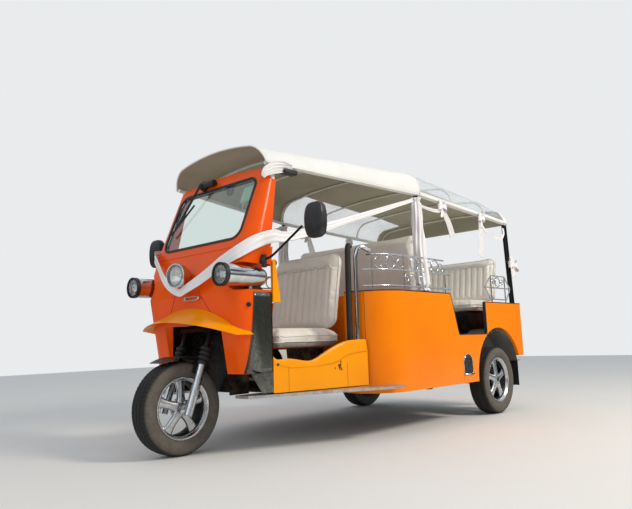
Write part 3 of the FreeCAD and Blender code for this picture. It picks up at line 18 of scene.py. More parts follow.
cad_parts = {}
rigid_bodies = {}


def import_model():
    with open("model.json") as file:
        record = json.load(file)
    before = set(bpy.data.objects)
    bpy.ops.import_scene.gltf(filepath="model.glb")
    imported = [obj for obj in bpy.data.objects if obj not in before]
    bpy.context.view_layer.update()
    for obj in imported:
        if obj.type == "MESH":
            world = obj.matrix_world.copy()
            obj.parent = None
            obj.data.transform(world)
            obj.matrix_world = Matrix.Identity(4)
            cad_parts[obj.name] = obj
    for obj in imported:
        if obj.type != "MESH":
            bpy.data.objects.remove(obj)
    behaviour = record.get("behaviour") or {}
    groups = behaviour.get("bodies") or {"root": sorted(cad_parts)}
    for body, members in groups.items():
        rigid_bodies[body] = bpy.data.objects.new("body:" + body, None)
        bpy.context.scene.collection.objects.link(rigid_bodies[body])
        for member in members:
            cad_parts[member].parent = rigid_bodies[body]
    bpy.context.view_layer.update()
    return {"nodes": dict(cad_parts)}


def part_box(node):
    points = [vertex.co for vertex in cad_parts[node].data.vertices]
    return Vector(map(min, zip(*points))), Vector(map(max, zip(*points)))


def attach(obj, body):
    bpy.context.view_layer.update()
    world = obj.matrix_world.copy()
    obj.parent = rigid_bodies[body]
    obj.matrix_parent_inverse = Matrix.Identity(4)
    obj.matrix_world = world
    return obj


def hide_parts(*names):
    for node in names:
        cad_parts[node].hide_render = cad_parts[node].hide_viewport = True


for leftover in list(bpy.data.objects):
    bpy.data.objects.remove(leftover)
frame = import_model()
nodes = frame["nodes"]

# %% [markdown]
# ## The camera
# The photograph was taken from the vehicle's front left, low down, with the camera tipped up a little and
# leaning to one side. A fitted camera gives its place, its heading and its focal length. The lens is in
# millimetres for a 36 mm wide sensor, so it holds for any picture width.

# %% Camera
CAMERA_PLACE = Vector((3.4791, 3.0098, 0.6135))
HEADING, TIP, LEAN = -2.40299, 0.14431, 0.03358
LENS_MM = 34.307


def camera_axes(heading, tip, lean):
    """Right, up and forward unit vectors of a camera from its heading, its tip and its lean."""
    forward = Vector((math.cos(heading) * math.cos(tip), math.sin(heading) * math.cos(tip), math.sin(tip)))
    level_right = forward.cross(Vector((0, 0, 1))).normalized()
    level_up = level_right.cross(forward)
    right = level_right * math.cos(lean) - level_up * math.sin(lean)
    up = level_right * math.sin(lean) + level_up * math.cos(lean)
    return right, up, forward


right, up, forward = camera_axes(HEADING, TIP, LEAN)
camera = bpy.data.objects.new("photo_camera", bpy.data.cameras.new("photo_camera"))
camera.data.lens = LENS_MM
camera.data.sensor_width = 36.0
camera.data.sensor_fit = "HORIZONTAL"
camera.data.clip_end = 60.0
camera.matrix_world = Matrix((
    (right.x, up.x, -forward.x, CAMERA_PLACE.x),
    (right.y, up.y, -forward.y, CAMERA_PLACE.y),
    (right.z, up.z, -forward.z, CAMERA_PLACE.z),
    (0, 0, 0, 1)))
bpy.context.scene.collection.objects.link(camera)
bpy.context.scene.camera = camera
bpy.context.scene.view_settings.view_transform = "Standard"
print("camera:", camera.matrix_world.translation, "lens", LENS_MM)

# %% [markdown]
# ## Colours and nodes
# Finishes are written as sRGB hex colours, as on a paint chart, and one function turns them into the linear
# values that Blender's shaders expect. Another small function adds any node with its settings and links, so
# that a material reads as a short recipe.

# %% Colour and node helpers
def paint(code, alpha=1.0):
    """A hex sRGB colour as linear RGBA: each channel is c/12.92 when small, else ((c+0.055)/1.055)^2.4."""
    channels = [int(code[i:i + 2], 16) / 255 for i in (1, 3, 5)]
    linear = [c / 12.92 if c <= 0.04045 else ((c + 0.055) / 1.055) ** 2.4 for c in channels]
    return (*linear, alpha)


def add_node(tree, kind, inputs=(), **settings):
    """Adds one node: settings are its properties, inputs are numbers, colours or sockets to link."""
    made = tree.nodes.new(kind)
    for name, value in settings.items():
        setattr(made, name, value)
    for name, value in dict(inputs).items():
        if isinstance(value, bpy.types.NodeSocket):
            tree.links.new(value, made.inputs[name])
        else:
            made.inputs[name].default_value = value
    return made


def new_material(name):
    """An empty material with a Principled shader and Object coordinates ready to use."""
    material = bpy.data.materials.new(name)
    material.use_nodes = True
    tree = material.node_tree
    tree.nodes.clear()
    shader = add_node(tree, "ShaderNodeBsdfPrincipled")
    add_node(tree, "ShaderNodeOutputMaterial", {"Surface": shader.outputs[0]})
    place = add_node(tree, "ShaderNodeTexCoord").outputs["Object"]
    return material, tree, shader, place


def noise(tree, place, size, detail=3.0, rough=0.55, stretch=(1, 1, 1)):
    """Cloudy noise whose features are about size metres across, as a value from 0 to 1."""
    spread = add_node(tree, "ShaderNodeMapping", {"Vector": place, "Scale": [s / size for s in stretch]})
    return add_node(tree, "ShaderNodeTexNoise", {"Vector": spread.outputs[0], "Scale": 1.0, "Detail": detail,
                                                 "Roughness": rough}).outputs["Fac"]


def between(tree, value, low, high, to_low=0.0, to_high=1.0):
    """The value's range low to high stretched to another range and held at its ends."""
    return add_node(tree, "ShaderNodeMapRange", {"Value": value, "From Min": low, "From Max": high,
                                                 "To Min": to_low, "To Max": to_high}).outputs[0]


def blend_colours(tree, share, first, second):
    """Two colours mixed by a share from 0 to 1."""
    return add_node(tree, "ShaderNodeMix", {0: share, 6: first, 7: second}, data_type="RGBA").outputs[2]


def sums(tree, first, second, operation="MULTIPLY"):
    """Arithmetic on two values."""
    return add_node(tree, "ShaderNodeMath", {0: first, 1: second}, operation=operation).outputs[0]


def relief(tree, shader, height, depth, strength=1.0):
    """Bump from a height from 0 to 1 that stands depth metres high."""
    made = add_node(tree, "ShaderNodeBump", {"Height": height, "Distance": depth, "Strength": strength})
    tree.links.new(made.outputs[0], shader.inputs["Normal"])


print("mid grey #808080 is", round(paint("#808080")[0], 3), "in linear light")

# %% [markdown]
# ## Body paint
# The body is steel sheet sprayed with gloss enamel. Enamel gives a clear reflection over a slightly uneven
# skin, fades in the sun, gathers dust low down and chips to rust where feet knock it. The shader is a coated
# plastic-like one: the colour varies softly over half a metre, dust comes in with lower height, and chips
# are where a fine noise passes a high threshold. Its specular is low and its coat thin, so that the pale sky
# doesn't wash the orange out.

# %% Enamel
ROAD_DUST, BARE_RUST = "#8A6F52", "#4A2A18"


def enamel(name, colour, shade, dusty_below=0.5, chips=0.0, dust_most=0.16):
    """Sprayed gloss enamel: colour, its faded shade, the height below which dust lies, chips, most dust."""
    material, tree, shader, place = new_material(name)
    fade = between(tree, noise(tree, place, 0.45, 2.0), 0.35, 0.7)
    body = blend_colours(tree, fade, paint(colour), paint(shade))
    height = add_node(tree, "ShaderNodeSeparateXYZ", {0: place}).outputs["Z"]
    low = between(tree, height, 0.25, dusty_below, 1.0, 0.0)
    speckle = between(tree, noise(tree, place, 0.05, 6.0, 0.7), 0.45, 0.75)
    dust = sums(tree, sums(tree, low, speckle), dust_most)
    body = blend_colours(tree, dust, body, paint(ROAD_DUST))
    rough = between(tree, dust, 0.0, 0.4, 0.24, 0.6)
    if chips:
        spots = between(tree, noise(tree, place, 0.022, 5.0, 0.75), 0.74 - chips, 0.76 - chips)
        patches = between(tree, noise(tree, place, 0.16, 2.0), 0.55, 0.6)
        worn = sums(tree, spots, patches)
        body = blend_colours(tree, worn, body, paint(BARE_RUST))
        rough = sums(tree, rough, worn, "MAXIMUM")
    tree.links.new(body, shader.inputs["Base Color"])
    tree.links.new(rough, shader.inputs["Roughness"])
    shader.inputs["Specular IOR Level"].default_value = 0.16
    shader.inputs["Coat Weight"].default_value = 0.08
    shader.inputs["Coat Roughness"].default_value = 0.08
    # Orange peel is under a millimetre on real paint; it is drawn at 9 mm so that it shows.
    relief(tree, shader, noise(tree, place, 0.009, 2.0), 0.0004, 0.25)
    return material


# The tub is orange, the cowl a redder orange, and the sills and the front fender's peak amber.
orange_enamel = enamel("orange_enamel", "#FF8900", "#FB8100", chips=0.02)
orange_front_enamel = enamel("orange_front_enamel", "#F75C04", "#EC5402", chips=0.015)
amber_enamel = enamel("amber_enamel", "#FFA008", "#F99604", dusty_below=0.3, chips=0.03)
# Posts and the fork's crown are sprayed gloss black; what faces the road is brushed black or grey and dusty.
gloss_black_enamel = enamel("gloss_black_enamel", "#131315", "#1B1A1A")
chassis_black = enamel("chassis_satin_black", "#121114", "#1C1A18", dusty_below=0.9, dust_most=0.3)
lining_grey = enamel("grey_arch_lining", "#77756F", "#5F5D57", dusty_below=0.6, dust_most=0.3)
# Powder coat on the roof's hoops and the stove enamel of the blank plate are whites that dust hardly reaches.
white_powder_coat = enamel("white_powder_coat", "#E9E7E0", "#DFDCD2", dusty_below=0.26)
blank_plate_enamel = enamel("blank_plate_enamel", "#EDEBE4", "#E4E2D8")
print("enamels:", [material.name for material in bpy.data.materials])

# %% [markdown]
# ## Bright metals
# Plated tube is chrome over steel: almost a mirror, with finger marks that dull it in soft patches. The kick
# strips are polished stainless sheet, scratched by feet in long fine lines and dulled in blotches, and the dark
# green-grey tint of those blotches is a painted reflection of grass. The wheels are cast aluminium under silver
# lacquer, and the running boards are mill-finish aluminium with a cut edge.

# %% Metals
def bright_metal(name, colour, shade, gloss, dull, mark_size=0.06, stretch=(1, 1, 1), lines=0.0):
    """Metal with patches: two tints, the roughness of clean and of marked places, and brushed lines."""
    material, tree, shader, place = new_material(name)
    marks = between(tree, noise(tree, place, mark_size, 4.0, 0.65), 0.35, 0.72)
    tree.links.new(blend_colours(tree, marks, paint(colour), paint(shade)), shader.inputs["Base Color"])
    tree.links.new(between(tree, marks, 0.0, 1.0, gloss, dull), shader.inputs["Roughness"])
    shader.inputs["Metallic"].default_value = 1.0
    if lines:
        # Polishing lines are finer than a tenth of a millimetre; these are 3 mm apart so that they show.
        relief(tree, shader, noise(tree, place, 0.003, 2.0, 0.5, stretch), 0.0003, lines)
    return material


chrome = bright_metal("chrome_plate", "#D9DBDD", "#B9BABC", 0.06, 0.2)
# The stainless sheet's dark green-grey mottling is a painted reflection of grass, over its real dull blotches.
polished_steel = bright_metal("polished_stainless_with_painted_reflection", "#7C7D78", "#55564D", 0.14, 0.3, 0.016,
                              (1, 1, 0.04), 0.35)
mill_aluminium = bright_metal("mill_finish_aluminium", "#D2D0CA", "#A39F97", 0.34, 0.6, 0.05, (0.03, 1, 1), 0.5)
silver_lacquer = bright_metal("silver_lacquered_alloy", "#D3D5D8", "#B4B6B8", 0.2, 0.36, 0.04)
cast_iron = bright_metal("cast_iron", "#57534E", "#3B352F", 0.5, 0.75, 0.02, (1, 1, 1), 0.8)
print("materials with the metals:", len(bpy.data.materials))

# %% [markdown]
# ## Rubber and moulded plastic
# Tyres are carbon-black rubber. The tread stays nearly black because it is always scrubbed, and the sidewall
# weathers to a warm grey with road dust. One shader serves all the tyres: its dust follows the distance from
# the wheel's axle, worked out from Object coordinates.

# %% Rubber and plastic
def tyre_rubber(name, hub):
    """Rubber whose dust lies on the sidewall and fades out 0.25 m from the axle, which runs through hub."""
    material, tree, shader, place = new_material(name)
    from_hub = add_node(tree, "ShaderNodeVectorMath", {0: place, 1: hub}, operation="SUBTRACT").outputs[0]
    flat = add_node(tree, "ShaderNodeVectorMath", {0: from_hub, 1: (1, 0, 1)}, operation="MULTIPLY").outputs[0]
    reach = add_node(tree, "ShaderNodeVectorMath", {0: flat}, operation="LENGTH").outputs["Value"]
    wall = between(tree, reach, 0.246, 0.258, 1.0, 0.0)
    cloud = between(tree, noise(tree, place, 0.03, 5.0, 0.7), 0.3, 0.75, 0.55, 1.0)
    dust = sums(tree, wall, cloud)
    tree.links.new(blend_colours(tree, dust, paint("#201F1F"), paint("#6B645A")), shader.inputs["Base Color"])
    shader.inputs["Roughness"].default_value = 0.86
    relief(tree, shader, noise(tree, place, 0.004, 4.0), 0.0006, 0.5)
    return material


def moulded(name, colour, shade, rough, grain=0.0025, depth=0.0004):
    """Moulded plastic or rubber: a tint with cloudy wear and a fine even grain, drawn a little coarse."""
    material, tree, shader, place = new_material(name)
    wear = between(tree, noise(tree, place, 0.07, 4.0), 0.35, 0.75)
    tree.links.new(blend_colours(tree, wear, paint(colour), paint(shade)), shader.inputs["Base Color"])
    tree.links.new(between(tree, wear, 0.0, 1.0, rough, min(rough + 0.18, 1.0)), shader.inputs["Roughness"])
    relief(tree, shader, noise(tree, place, grain, 2.0), depth, 0.5)
    return material


black_rubber = moulded("black_rubber", "#141414", "#242322", 0.5)
black_plastic = moulded("moulded_black_plastic", "#18181A", "#2A2A2B", 0.34)
floor_rubber = moulded("ribbed_floor_rubber", "#3D3B39", "#5A544C", 0.8, 0.01, 0.001)
red_lens = moulded("red_moulded_lens", "#9C0E0A", "#7E0A08", 0.12)
print("materials with rubber and plastic:", len(bpy.data.materials))

# %% [markdown]
# ## Clear sheets and glass
# Windscreen glass is thick enough to bend light a little, so it has true transmission. The roof's clear vinyl
# is a film under a millimetre thick: light goes straight through it, so part of it is simply see-through,
# with a gloss that shows its ripples.

# %% Glass and film
def clear_glass(name, tint, rough=0.0):
    """Window glass or a lamp lens: full transmission with the usual index of 1.5."""
    material, _, shader, _ = new_material(name)
    shader.inputs["Base Color"].default_value = paint(tint)
    shader.inputs["Transmission Weight"].default_value = 1.0
    shader.inputs["Roughness"].default_value = rough
    shader.inputs["IOR"].default_value = 1.5
    return material


def clear_film(name, tint, opacity):
    """Glossy see-through film with soft ripples."""
    material, tree, shader, place = new_material(name)
    haze = between(tree, noise(tree, place, 0.2, 3.0), 0.3, 0.7, opacity * 0.7, opacity * 1.3)
    shader.inputs["Base Color"].default_value = paint(tint)
    tree.links.new(haze, shader.inputs["Alpha"])
    shader.inputs["Roughness"].default_value = 0.08
    relief(tree, shader, noise(tree, place, 0.09, 2.0), 0.004, 0.5)
    return material


window_glass = clear_glass("windscreen_glass", "#E3F0EA")
lamp_glass = clear_glass("lamp_glass", "#F4F6F4", 0.02)
vinyl_film = clear_film("clear_roof_vinyl", "#D5DFE3", 0.36)
print("clear materials:", window_glass.name, lamp_glass.name, vinyl_film.name)

# %% [markdown]
# ## Cloth and upholstery
# The seats are foam under cream vinyl, embossed with a leather grain. The canopy is PVC-coated canvas: a
# matt white skin over a plain weave, beige underneath, where the beige is darkened as painted shade under the
# roof. Ribbon is satin, which is smooth with a soft sheen.

# %% Cloth and upholstery
# A wave texture at scale 1 repeats each 0.314 of its coordinate, so this over a spacing gives that spacing.
WAVE_PERIOD = 0.314


def upholstery_vinyl(name, colour, shade):
    """Cream vinyl: creases of leather grain from cell edges, drawn at 5 mm so that they show."""
    material, tree, shader, place = new_material(name)
    soil = between(tree, noise(tree, place, 0.18, 4.0), 0.4, 0.75)
    tree.links.new(blend_colours(tree, soil, paint(colour), paint(shade)), shader.inputs["Base Color"])
    grain = add_node(tree, "ShaderNodeTexVoronoi", {"Vector": place, "Scale": 1 / 0.005},
                     feature="DISTANCE_TO_EDGE").outputs["Distance"]
    shader.inputs["Roughness"].default_value = 0.42
    shader.inputs["Coat Weight"].default_value = 0.1
    relief(tree, shader, between(tree, grain, 0.0, 0.25), 0.0004, 0.5)
    return material


def woven(name, colour, shade, thread, rough=0.75, sheen=0.0):
    """Plain weave: two sets of threads that cross, thread metres apart, with soft soiling."""
    material, tree, shader, place = new_material(name)
    soil = between(tree, noise(tree, place, 0.35, 4.0), 0.4, 0.75)
    tree.links.new(blend_colours(tree, soil, paint(colour), paint(shade)), shader.inputs["Base Color"])
    threads = [add_node(tree, "ShaderNodeTexWave", {"Vector": place, "Scale": WAVE_PERIOD / thread},
                        wave_type="BANDS", bands_direction=way).outputs["Fac"] for way in ("X", "Y", "Z")]
    weave = sums(tree, sums(tree, threads[0], threads[1], "ADD"), threads[2], "ADD")
    shader.inputs["Roughness"].default_value = rough
    shader.inputs["Sheen Weight"].default_value = sheen
    relief(tree, shader, weave, 0.0003, 0.35)
    return material


cream_vinyl = upholstery_vinyl("cream_seat_vinyl", "#F7F2E9", "#EEE8DC")
canvas_top = woven("white_coated_canvas", "#E9E9E6", "#DDDDD9", 0.004)
# The underside's beige is darker than the coating itself: painted shade for the shadow under the roof.
shaded_canvas_underside = woven("beige_underside_with_painted_shade", "#B2AE97", "#A5A088", 0.004)
ribbon_satin = woven("white_satin_ribbon", "#F6F2F1", "#ECE7E8", 0.003, 0.4, 0.3)
print("cloths:", cream_vinyl.name, canvas_top.name, shaded_canvas_underside.name, ribbon_satin.name)

# %% [markdown]
# ## The studio
# A plain pale floor and a pale world. The world shows white to the camera and through glass, and lights the
# object at a plain level. What paint and chrome mirror is a third one, dull ground below and pale sky above,
# because a world that is white all round would leave them without form. One large soft lamp stands on the
# vehicle's left, where the sun is in the photograph, and a weaker one fills the front.

# %% Studio
SUN_SIDE, SUN_WATTS = Vector((-0.9, 5.6, 4.9)), 262
FRONT_FILL, FILL_WATTS = Vector((5.5, 1.0, 2.6)), 25
WORLD_LIGHT, WORLD_SHOWN, WORLD_MIRRORED = 0.7, 0.93, 0.9


def soft_lamp(name, place, size, watts, target=(0, 0, 0.8), colour=(1.0, 1.0, 1.0)):
    """A square area lamp that faces the vehicle."""
    lamp = bpy.data.objects.new(name, bpy.data.lights.new(name, "AREA"))
    lamp.data.color = colour
    lamp.data.size = size
    lamp.data.energy = watts
    lamp.location = place
    lamp.rotation_euler = (Vector(target) - Vector(place)).to_track_quat("-Z", "Y").to_euler()
    bpy.context.scene.collection.objects.link(lamp)
    return lamp


soft_lamp("sun_side_lamp", SUN_SIDE, 1.6, SUN_WATTS, colour=(1.0, 0.93, 0.82))
soft_lamp("front_fill_lamp", FRONT_FILL, 4.0, FILL_WATTS)

world = bpy.data.worlds.new("studio")
bpy.context.scene.world = world
world.use_nodes = True
world.node_tree.nodes.clear()
sky = world.node_tree
seen = add_node(sky, "ShaderNodeLightPath")
plainly = sums(sky, seen.outputs["Is Camera Ray"], seen.outputs["Is Transmission Ray"], "MAXIMUM")
lit = add_node(sky, "ShaderNodeBackground", {"Color": paint("#E6EBF2"), "Strength": WORLD_LIGHT})
shown = add_node(sky, "ShaderNodeBackground", {"Color": paint("#F1F3F5"), "Strength": WORLD_SHOWN})
# A world's Generated coordinates are the way a ray goes, so their Z tells ground from sky.
looking = add_node(sky, "ShaderNodeTexCoord").outputs["Generated"]
upward = add_node(sky, "ShaderNodeSeparateXYZ", {0: looking}).outputs["Z"]
above = between(sky, upward, 0.05, 0.35)
ground_to_sky = blend_colours(sky, above, paint("#5C5A50"), paint("#DDE6F0"))
mirrored = add_node(sky, "ShaderNodeBackground", {"Color": ground_to_sky, "Strength": WORLD_MIRRORED})
unseen = add_node(sky, "ShaderNodeMixShader", {0: seen.outputs["Is Glossy Ray"], 1: lit.outputs[0],
                                               2: mirrored.outputs[0]})
mixed = add_node(sky, "ShaderNodeMixShader", {0: plainly, 1: unseen.outputs[0], 2: shown.outputs[0]})
add_node(sky, "ShaderNodeOutputWorld", {"Surface": mixed.outputs[0]})

floor_mesh = bpy.data.meshes.new("studio_floor")
FLOOR = 14
floor_mesh.from_pydata([(-FLOOR, -FLOOR, 0), (FLOOR, -FLOOR, 0), (FLOOR, FLOOR, 0), (-FLOOR, FLOOR, 0)], [],
                       [(0, 1, 2, 3)])
studio_floor = bpy.data.objects.new("studio_floor", floor_mesh)
bpy.context.scene.collection.objects.link(studio_floor)
floor_paint, floor_tree, floor_shader, floor_place = new_material("pale_studio_floor")
floor_tint = blend_colours(floor_tree, noise(floor_tree, floor_place, 1.5), paint("#E9E8E4"), paint("#E3E2DE"))
floor_tree.links.new(floor_tint, floor_shader.inputs["Base Color"])
floor_shader.inputs["Roughness"].default_value = 0.9
studio_floor.data.materials.append(floor_paint)
print("studio: lamps of", SUN_WATTS, "and", FILL_WATTS, "W over a floor", 2 * FLOOR, "m wide")

# %% [markdown]
# ## Finishes of the CAD nodes
# Each CAD node keeps its mesh and takes its finish from this table. A node that a modelled piece stands for
# later on isn't shown at all.

# %% Dress the CAD nodes
NODE_FINISH = {
    "chassis_frame": chassis_black, "floor_pan": floor_rubber, "cowl": orange_front_enamel,
    "wheel_housing": chassis_black, "windscreen_frame": orange_front_enamel, "windscreen_glass": window_glass,
    "windscreen_gasket": black_rubber, "fender_peak": amber_enamel, "kick_strips": polished_steel,
    "dashboard": black_plastic, "lamp_shells": chrome, "lamp_rims": black_plastic, "lamp_lenses": lamp_glass,
    "mirror_arms": gloss_black_enamel, "mirror_heads": black_plastic, "wiper": black_plastic,
    "tub_sides": orange_enamel, "tub_walls": orange_enamel, "wheel_arches": lining_grey,
    "mud_flaps": black_rubber, "sill_panels": amber_enamel, "door_wedges": amber_enamel,
    "running_boards": mill_aluminium, "seat_cushions": cream_vinyl, "seat_backs": cream_vinyl,
    "seat_bases": chassis_black, "canopy_front": canvas_top, "canopy_rear": canvas_top,
    "clear_strips": vinyl_film, "roof_frame": white_powder_coat, "roof_posts": gloss_black_enamel,
    "grab_poles": chrome, "side_railings": chrome, "rear_axle": cast_iron, "leaf_springs": chassis_black,
    "power_unit": cast_iron, "tail_lamps": red_lens, "number_plate": blank_plate_enamel,
    "fork_legs": silver_lacquer, "fork_gaiters": black_rubber, "fork_crown": gloss_black_enamel,
    "handlebar": chrome, "hand_grips": black_rubber, "inner_mudguard": black_plastic,
    "ribbons": ribbon_satin,
}
for wheel in ("front", "rear_left", "rear_right"):
    low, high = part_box(f"{wheel}_rim")
    hub = tuple((low + high) / 2)
    NODE_FINISH[f"{wheel}_tyre"] = tyre_rubber(f"{wheel}_tyre_rubber", hub)
    NODE_FINISH[f"{wheel}_rim"] = silver_lacquer
for name, finish in NODE_FINISH.items():
    cad = nodes[name]
    cad.data.materials.clear()
    cad.data.materials.append(finish)
print("dressed", len(NODE_FINISH), "of", len(nodes), "nodes; left:", sorted(set(nodes) - set(NODE_FINISH)))

# %% [markdown]
# ## Surfaces from numbers
# Every new piece is a grid of points: one number runs along the piece and one runs round or across it. A
# helper turns the grid into a mesh with a UV map, gives it its finish and lets it ride on a CAD body. A
# second helper carries a round section along a path, for piping, bars and scrolls.

# %% Surface helpers
def as_mesh(name, points, faces, finishes, body="chassis", slot=None, uv=None, smooth=True):
    """A mesh object from an (n, 3) array of points and an (m, 4) array of corner numbers."""
    mesh = bpy.data.meshes.new(name)
    faces = np.asarray(faces, dtype=np.int32)
    mesh.vertices.add(len(points))
    mesh.vertices.foreach_set("co", np.ascontiguousarray(points, dtype=np.float32).ravel())
    mesh.loops.add(faces.size)
    mesh.loops.foreach_set("vertex_index", faces.ravel())
    mesh.polygons.add(len(faces))
    mesh.polygons.foreach_set("loop_start", np.arange(0, faces.size, faces.shape[1], dtype=np.int32))
    if uv is not None:
        layer = mesh.uv_layers.new(name="cloth")
        layer.data.foreach_set("uv", np.asarray(uv, dtype=np.float32)[faces.ravel()].ravel())
    mesh.update(calc_edges=True)
    mesh.polygons.foreach_set("use_smooth", np.full(len(faces), smooth))
    piece = bpy.data.objects.new(name, mesh)
    bpy.context.scene.collection.objects.link(piece)
    for finish in finishes if isinstance(finishes, (list, tuple)) else [finishes]:
        mesh.materials.append(finish)
    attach(piece, body)
    return piece


def grid_faces(rows, columns, closed_rows=False, closed_columns=False, start=0):
    """Corner numbers of a grid's quads, wrapped where a direction is closed."""
    i = np.arange(rows if closed_rows else rows - 1)[:, None]
    j = np.arange(columns if closed_columns else columns - 1)[None, :]
    next_i, next_j = (i + 1) % rows, (j + 1) % columns
    corners = np.stack(np.broadcast_arrays(i * columns + j, next_i * columns + j,
                                           next_i * columns + next_j, i * columns + next_j), axis=-1)
    return corners.reshape(-1, 4) + start


def surface(name, points, finishes, closed_rows=False, closed_columns=False, flip=False, **others):
    """A mesh from an (rows, columns, 3) grid, with UVs that measure metres along both directions."""
    rows, columns = points.shape[:2]
    faces = grid_faces(rows, columns, closed_rows, closed_columns)
    if flip:
        faces = faces[:, ::-1]
    along = np.linalg.norm(np.diff(points, axis=0, prepend=points[:1]), axis=2).cumsum(axis=0)
    across = np.linalg.norm(np.diff(points, axis=1, prepend=points[:, :1]), axis=2).cumsum(axis=1)
    uv = np.stack([along, across], axis=-1).reshape(-1, 2)
    return as_mesh(name, points.reshape(-1, 3), faces, finishes, uv=uv, **others)


def together(name, parts, finishes, **others):
    """One mesh from several grids, each given as points, closed rows, closed columns and flip."""
    points, faces, start = [], [], 0
    for grid, closed_rows, closed_columns, flip in parts:
        rows, columns = grid.shape[:2]
        quads = grid_faces(rows, columns, closed_rows, closed_columns, start)
        faces.append(quads[:, ::-1] if flip else quads)
        points.append(grid.reshape(-1, 3))
        start += rows * columns
    return as_mesh(name, np.concatenate(points), np.concatenate(faces), finishes, **others)


def along_path(path, radius, sides=10, closed=False):
    """A round tube along a path: each ring lies across the path's direction, turned as little as possible."""
    path = np.asarray(path, dtype=float)
    moved = np.linalg.norm(np.roll(path, -1, axis=0) - path, axis=1) > 1e-5
    path = path[moved | (not closed) * (np.arange(len(path)) == len(path) - 1)]
    heading = np.gradient(path, axis=0)
    if closed:
        heading = np.roll(path, -1, axis=0) - np.roll(path, 1, axis=0)
    heading /= np.linalg.norm(heading, axis=1, keepdims=True)
    guide = np.array([0.0, 0.0, 1.0]) if abs(heading[:, 2]).max() < 0.95 else np.array([0.31, 0.95, 0.05])
    side = np.cross(heading, guide)
    side /= np.linalg.norm(side, axis=1, keepdims=True)
    rise = np.cross(side, heading)
    turn = np.linspace(0, 2 * math.pi, sides, endpoint=False)
    radius = np.broadcast_to(np.asarray(radius, dtype=float), len(path))[:, None, None]
    rings = (path[:, None] + radius * (np.cos(turn)[None, :, None] * side[:, None]
                                       + np.sin(turn)[None, :, None] * rise[:, None]))
    if not closed:
        rings = np.concatenate([np.repeat(path[:1, None], sides, axis=1), rings,
                                np.repeat(path[-1:, None], sides, axis=1)])
    return rings


def tube(name, path, radius, finish, sides=10, closed=False, **others):
    """A tube as a piece of its own."""
    return surface(name, along_path(path, radius, sides, closed), finish, closed_rows=closed,
                   closed_columns=True, **others)


def smooth_path(spots, count):
    """Points on a curve through the given spots: Catmull-Rom, which bends gently from spot to spot."""
    spots = np.asarray(spots, dtype=float)
    padded = np.concatenate([2 * spots[:1] - spots[1:2], spots, 2 * spots[-1:] - spots[-2:-1]])
    place = np.linspace(0, len(spots) - 1 - 1e-9, count)
    cell = place.astype(int)
    t = (place - cell)[:, None]
    a, b, c, d = (padded[cell + k] for k in range(4))
    return 0.5 * (2 * b + (c - a) * t + (2 * a - 5 * b + 4 * c - d) * t ** 2
                  + (3 * b - a - 3 * c + d) * t ** 3)


def thickened(piece, thickness, underside=1, offset=-1):
    """Gives a sheet its thickness, inwards at offset -1; the underside takes the second finish."""
    wall = piece.modifiers.new("thickness", "SOLIDIFY")
    wall.thickness = thickness
    wall.offset = offset
    wall.material_offset = underside
    return piece


def crisp_edges(piece, degrees):
    """Keeps the edges that bend more than an angle crisp under smooth shading."""
    piece.modifiers.new("crisp_edges", "EDGE_SPLIT").split_angle = math.radians(degrees)


def one_middle(piece):
    """Merges the points that a round grid piles up at its middle."""
    piece.modifiers.new("one_middle", "WELD").merge_threshold = 1e-5


print("a tube's rings:", along_path([(0, 0, 0), (1, 0, 0)], 0.01).shape)

# %% [markdown]
# ## The canopy
# The roof is coated canvas stretched over hoops: a long front cloth that narrows to the windscreen, a middle
# band over the benches, a rounded rear end, and clear vinyl along both shoulders behind the middle post. Each
# cross section is three arcs: a shoulder, a flat crown and the other shoulder. The same stations as the CAD
# roof give every section's half width, rise and rail height, and between the hoops the cloth hangs a little
# slack. Solidify gives it thickness, with the beige coating inside, darkened as painted shade.

# %% Canopy sections
KINK_X, FRONT_X, REAR_HOOP_X, REAR_X = -0.185, 1.09, -1.205, -1.645
ROOF_X = np.array([REAR_X, REAR_HOOP_X, KINK_X, FRONT_X])
RAIL_Z = np.array([1.601, 1.6143, 1.645, 1.690])
ROOF_HALF = np.array([0.700, 0.700, 0.700, 0.455])
ROOF_RISE = np.array([0.150, 0.196, 0.226, 0.148])
HOOP_X = np.array([1.074, 0.81, 0.40, -0.145, -0.665, -1.205, -1.613])
NOSE = 0.042
SHOULDER_IN = 0.12


def roof_section(x, share, lift=0.004, inset=0.0):
    """Points of the section at each x: share runs from -1 at one hem to 1 at the other along the arcs."""
    half = np.interp(x, ROOF_X, ROOF_HALF) + lift - inset
    rise = np.interp(x, ROOF_X, ROOF_RISE) + lift - inset
    low = np.interp(x, ROOF_X, RAIL_Z)
    sy, sz = half - SHOULDER_IN, 0.8 * rise
    crown = (sy ** 2 + (rise - sz) ** 2) / (2 * (rise - sz))
    inward = np.stack([-sy, rise - crown - sz], axis=-1) / crown[..., None]
    span = np.stack([half - sy, -sz], axis=-1)
    radius = (span ** 2).sum(-1) / (2 * (span * inward).sum(-1))
    centre = np.stack([sy, sz], axis=-1) + inward * radius[..., None]
    first = np.arctan2(-centre[..., 1], half - centre[..., 0])
    last = np.arctan2(sz - centre[..., 1], sy - centre[..., 0])
    shoulder_run = radius * (last - first)
    crown_run = crown * np.arcsin(sy / crown)
    run = (1 - np.abs(share)) * (shoulder_run + crown_run)
    on_shoulder = run < shoulder_run
    angle = first + np.minimum(run, shoulder_run) / radius
    lean = np.maximum(shoulder_run + crown_run - run, 0) / crown
    y = np.where(on_shoulder, centre[..., 0] + radius * np.cos(angle), crown * np.sin(lean))
    z = np.where(on_shoulder, centre[..., 1] + radius * np.sin(angle), rise - crown + crown * np.cos(lean))
    return np.sign(share) * y, low + z, z / rise


def slack(x):
    """How far the cloth hangs below the straight line between two hoops: a shallow sine in each bay."""
    order = np.sort(HOOP_X)
    bay = np.clip(np.searchsorted(order, x) - 1, 0, len(order) - 2)
    phase = np.clip((x - order[bay]) / (order[bay + 1] - order[bay]), 0, 1)
    return 0.004 * np.sin(math.pi * phase)


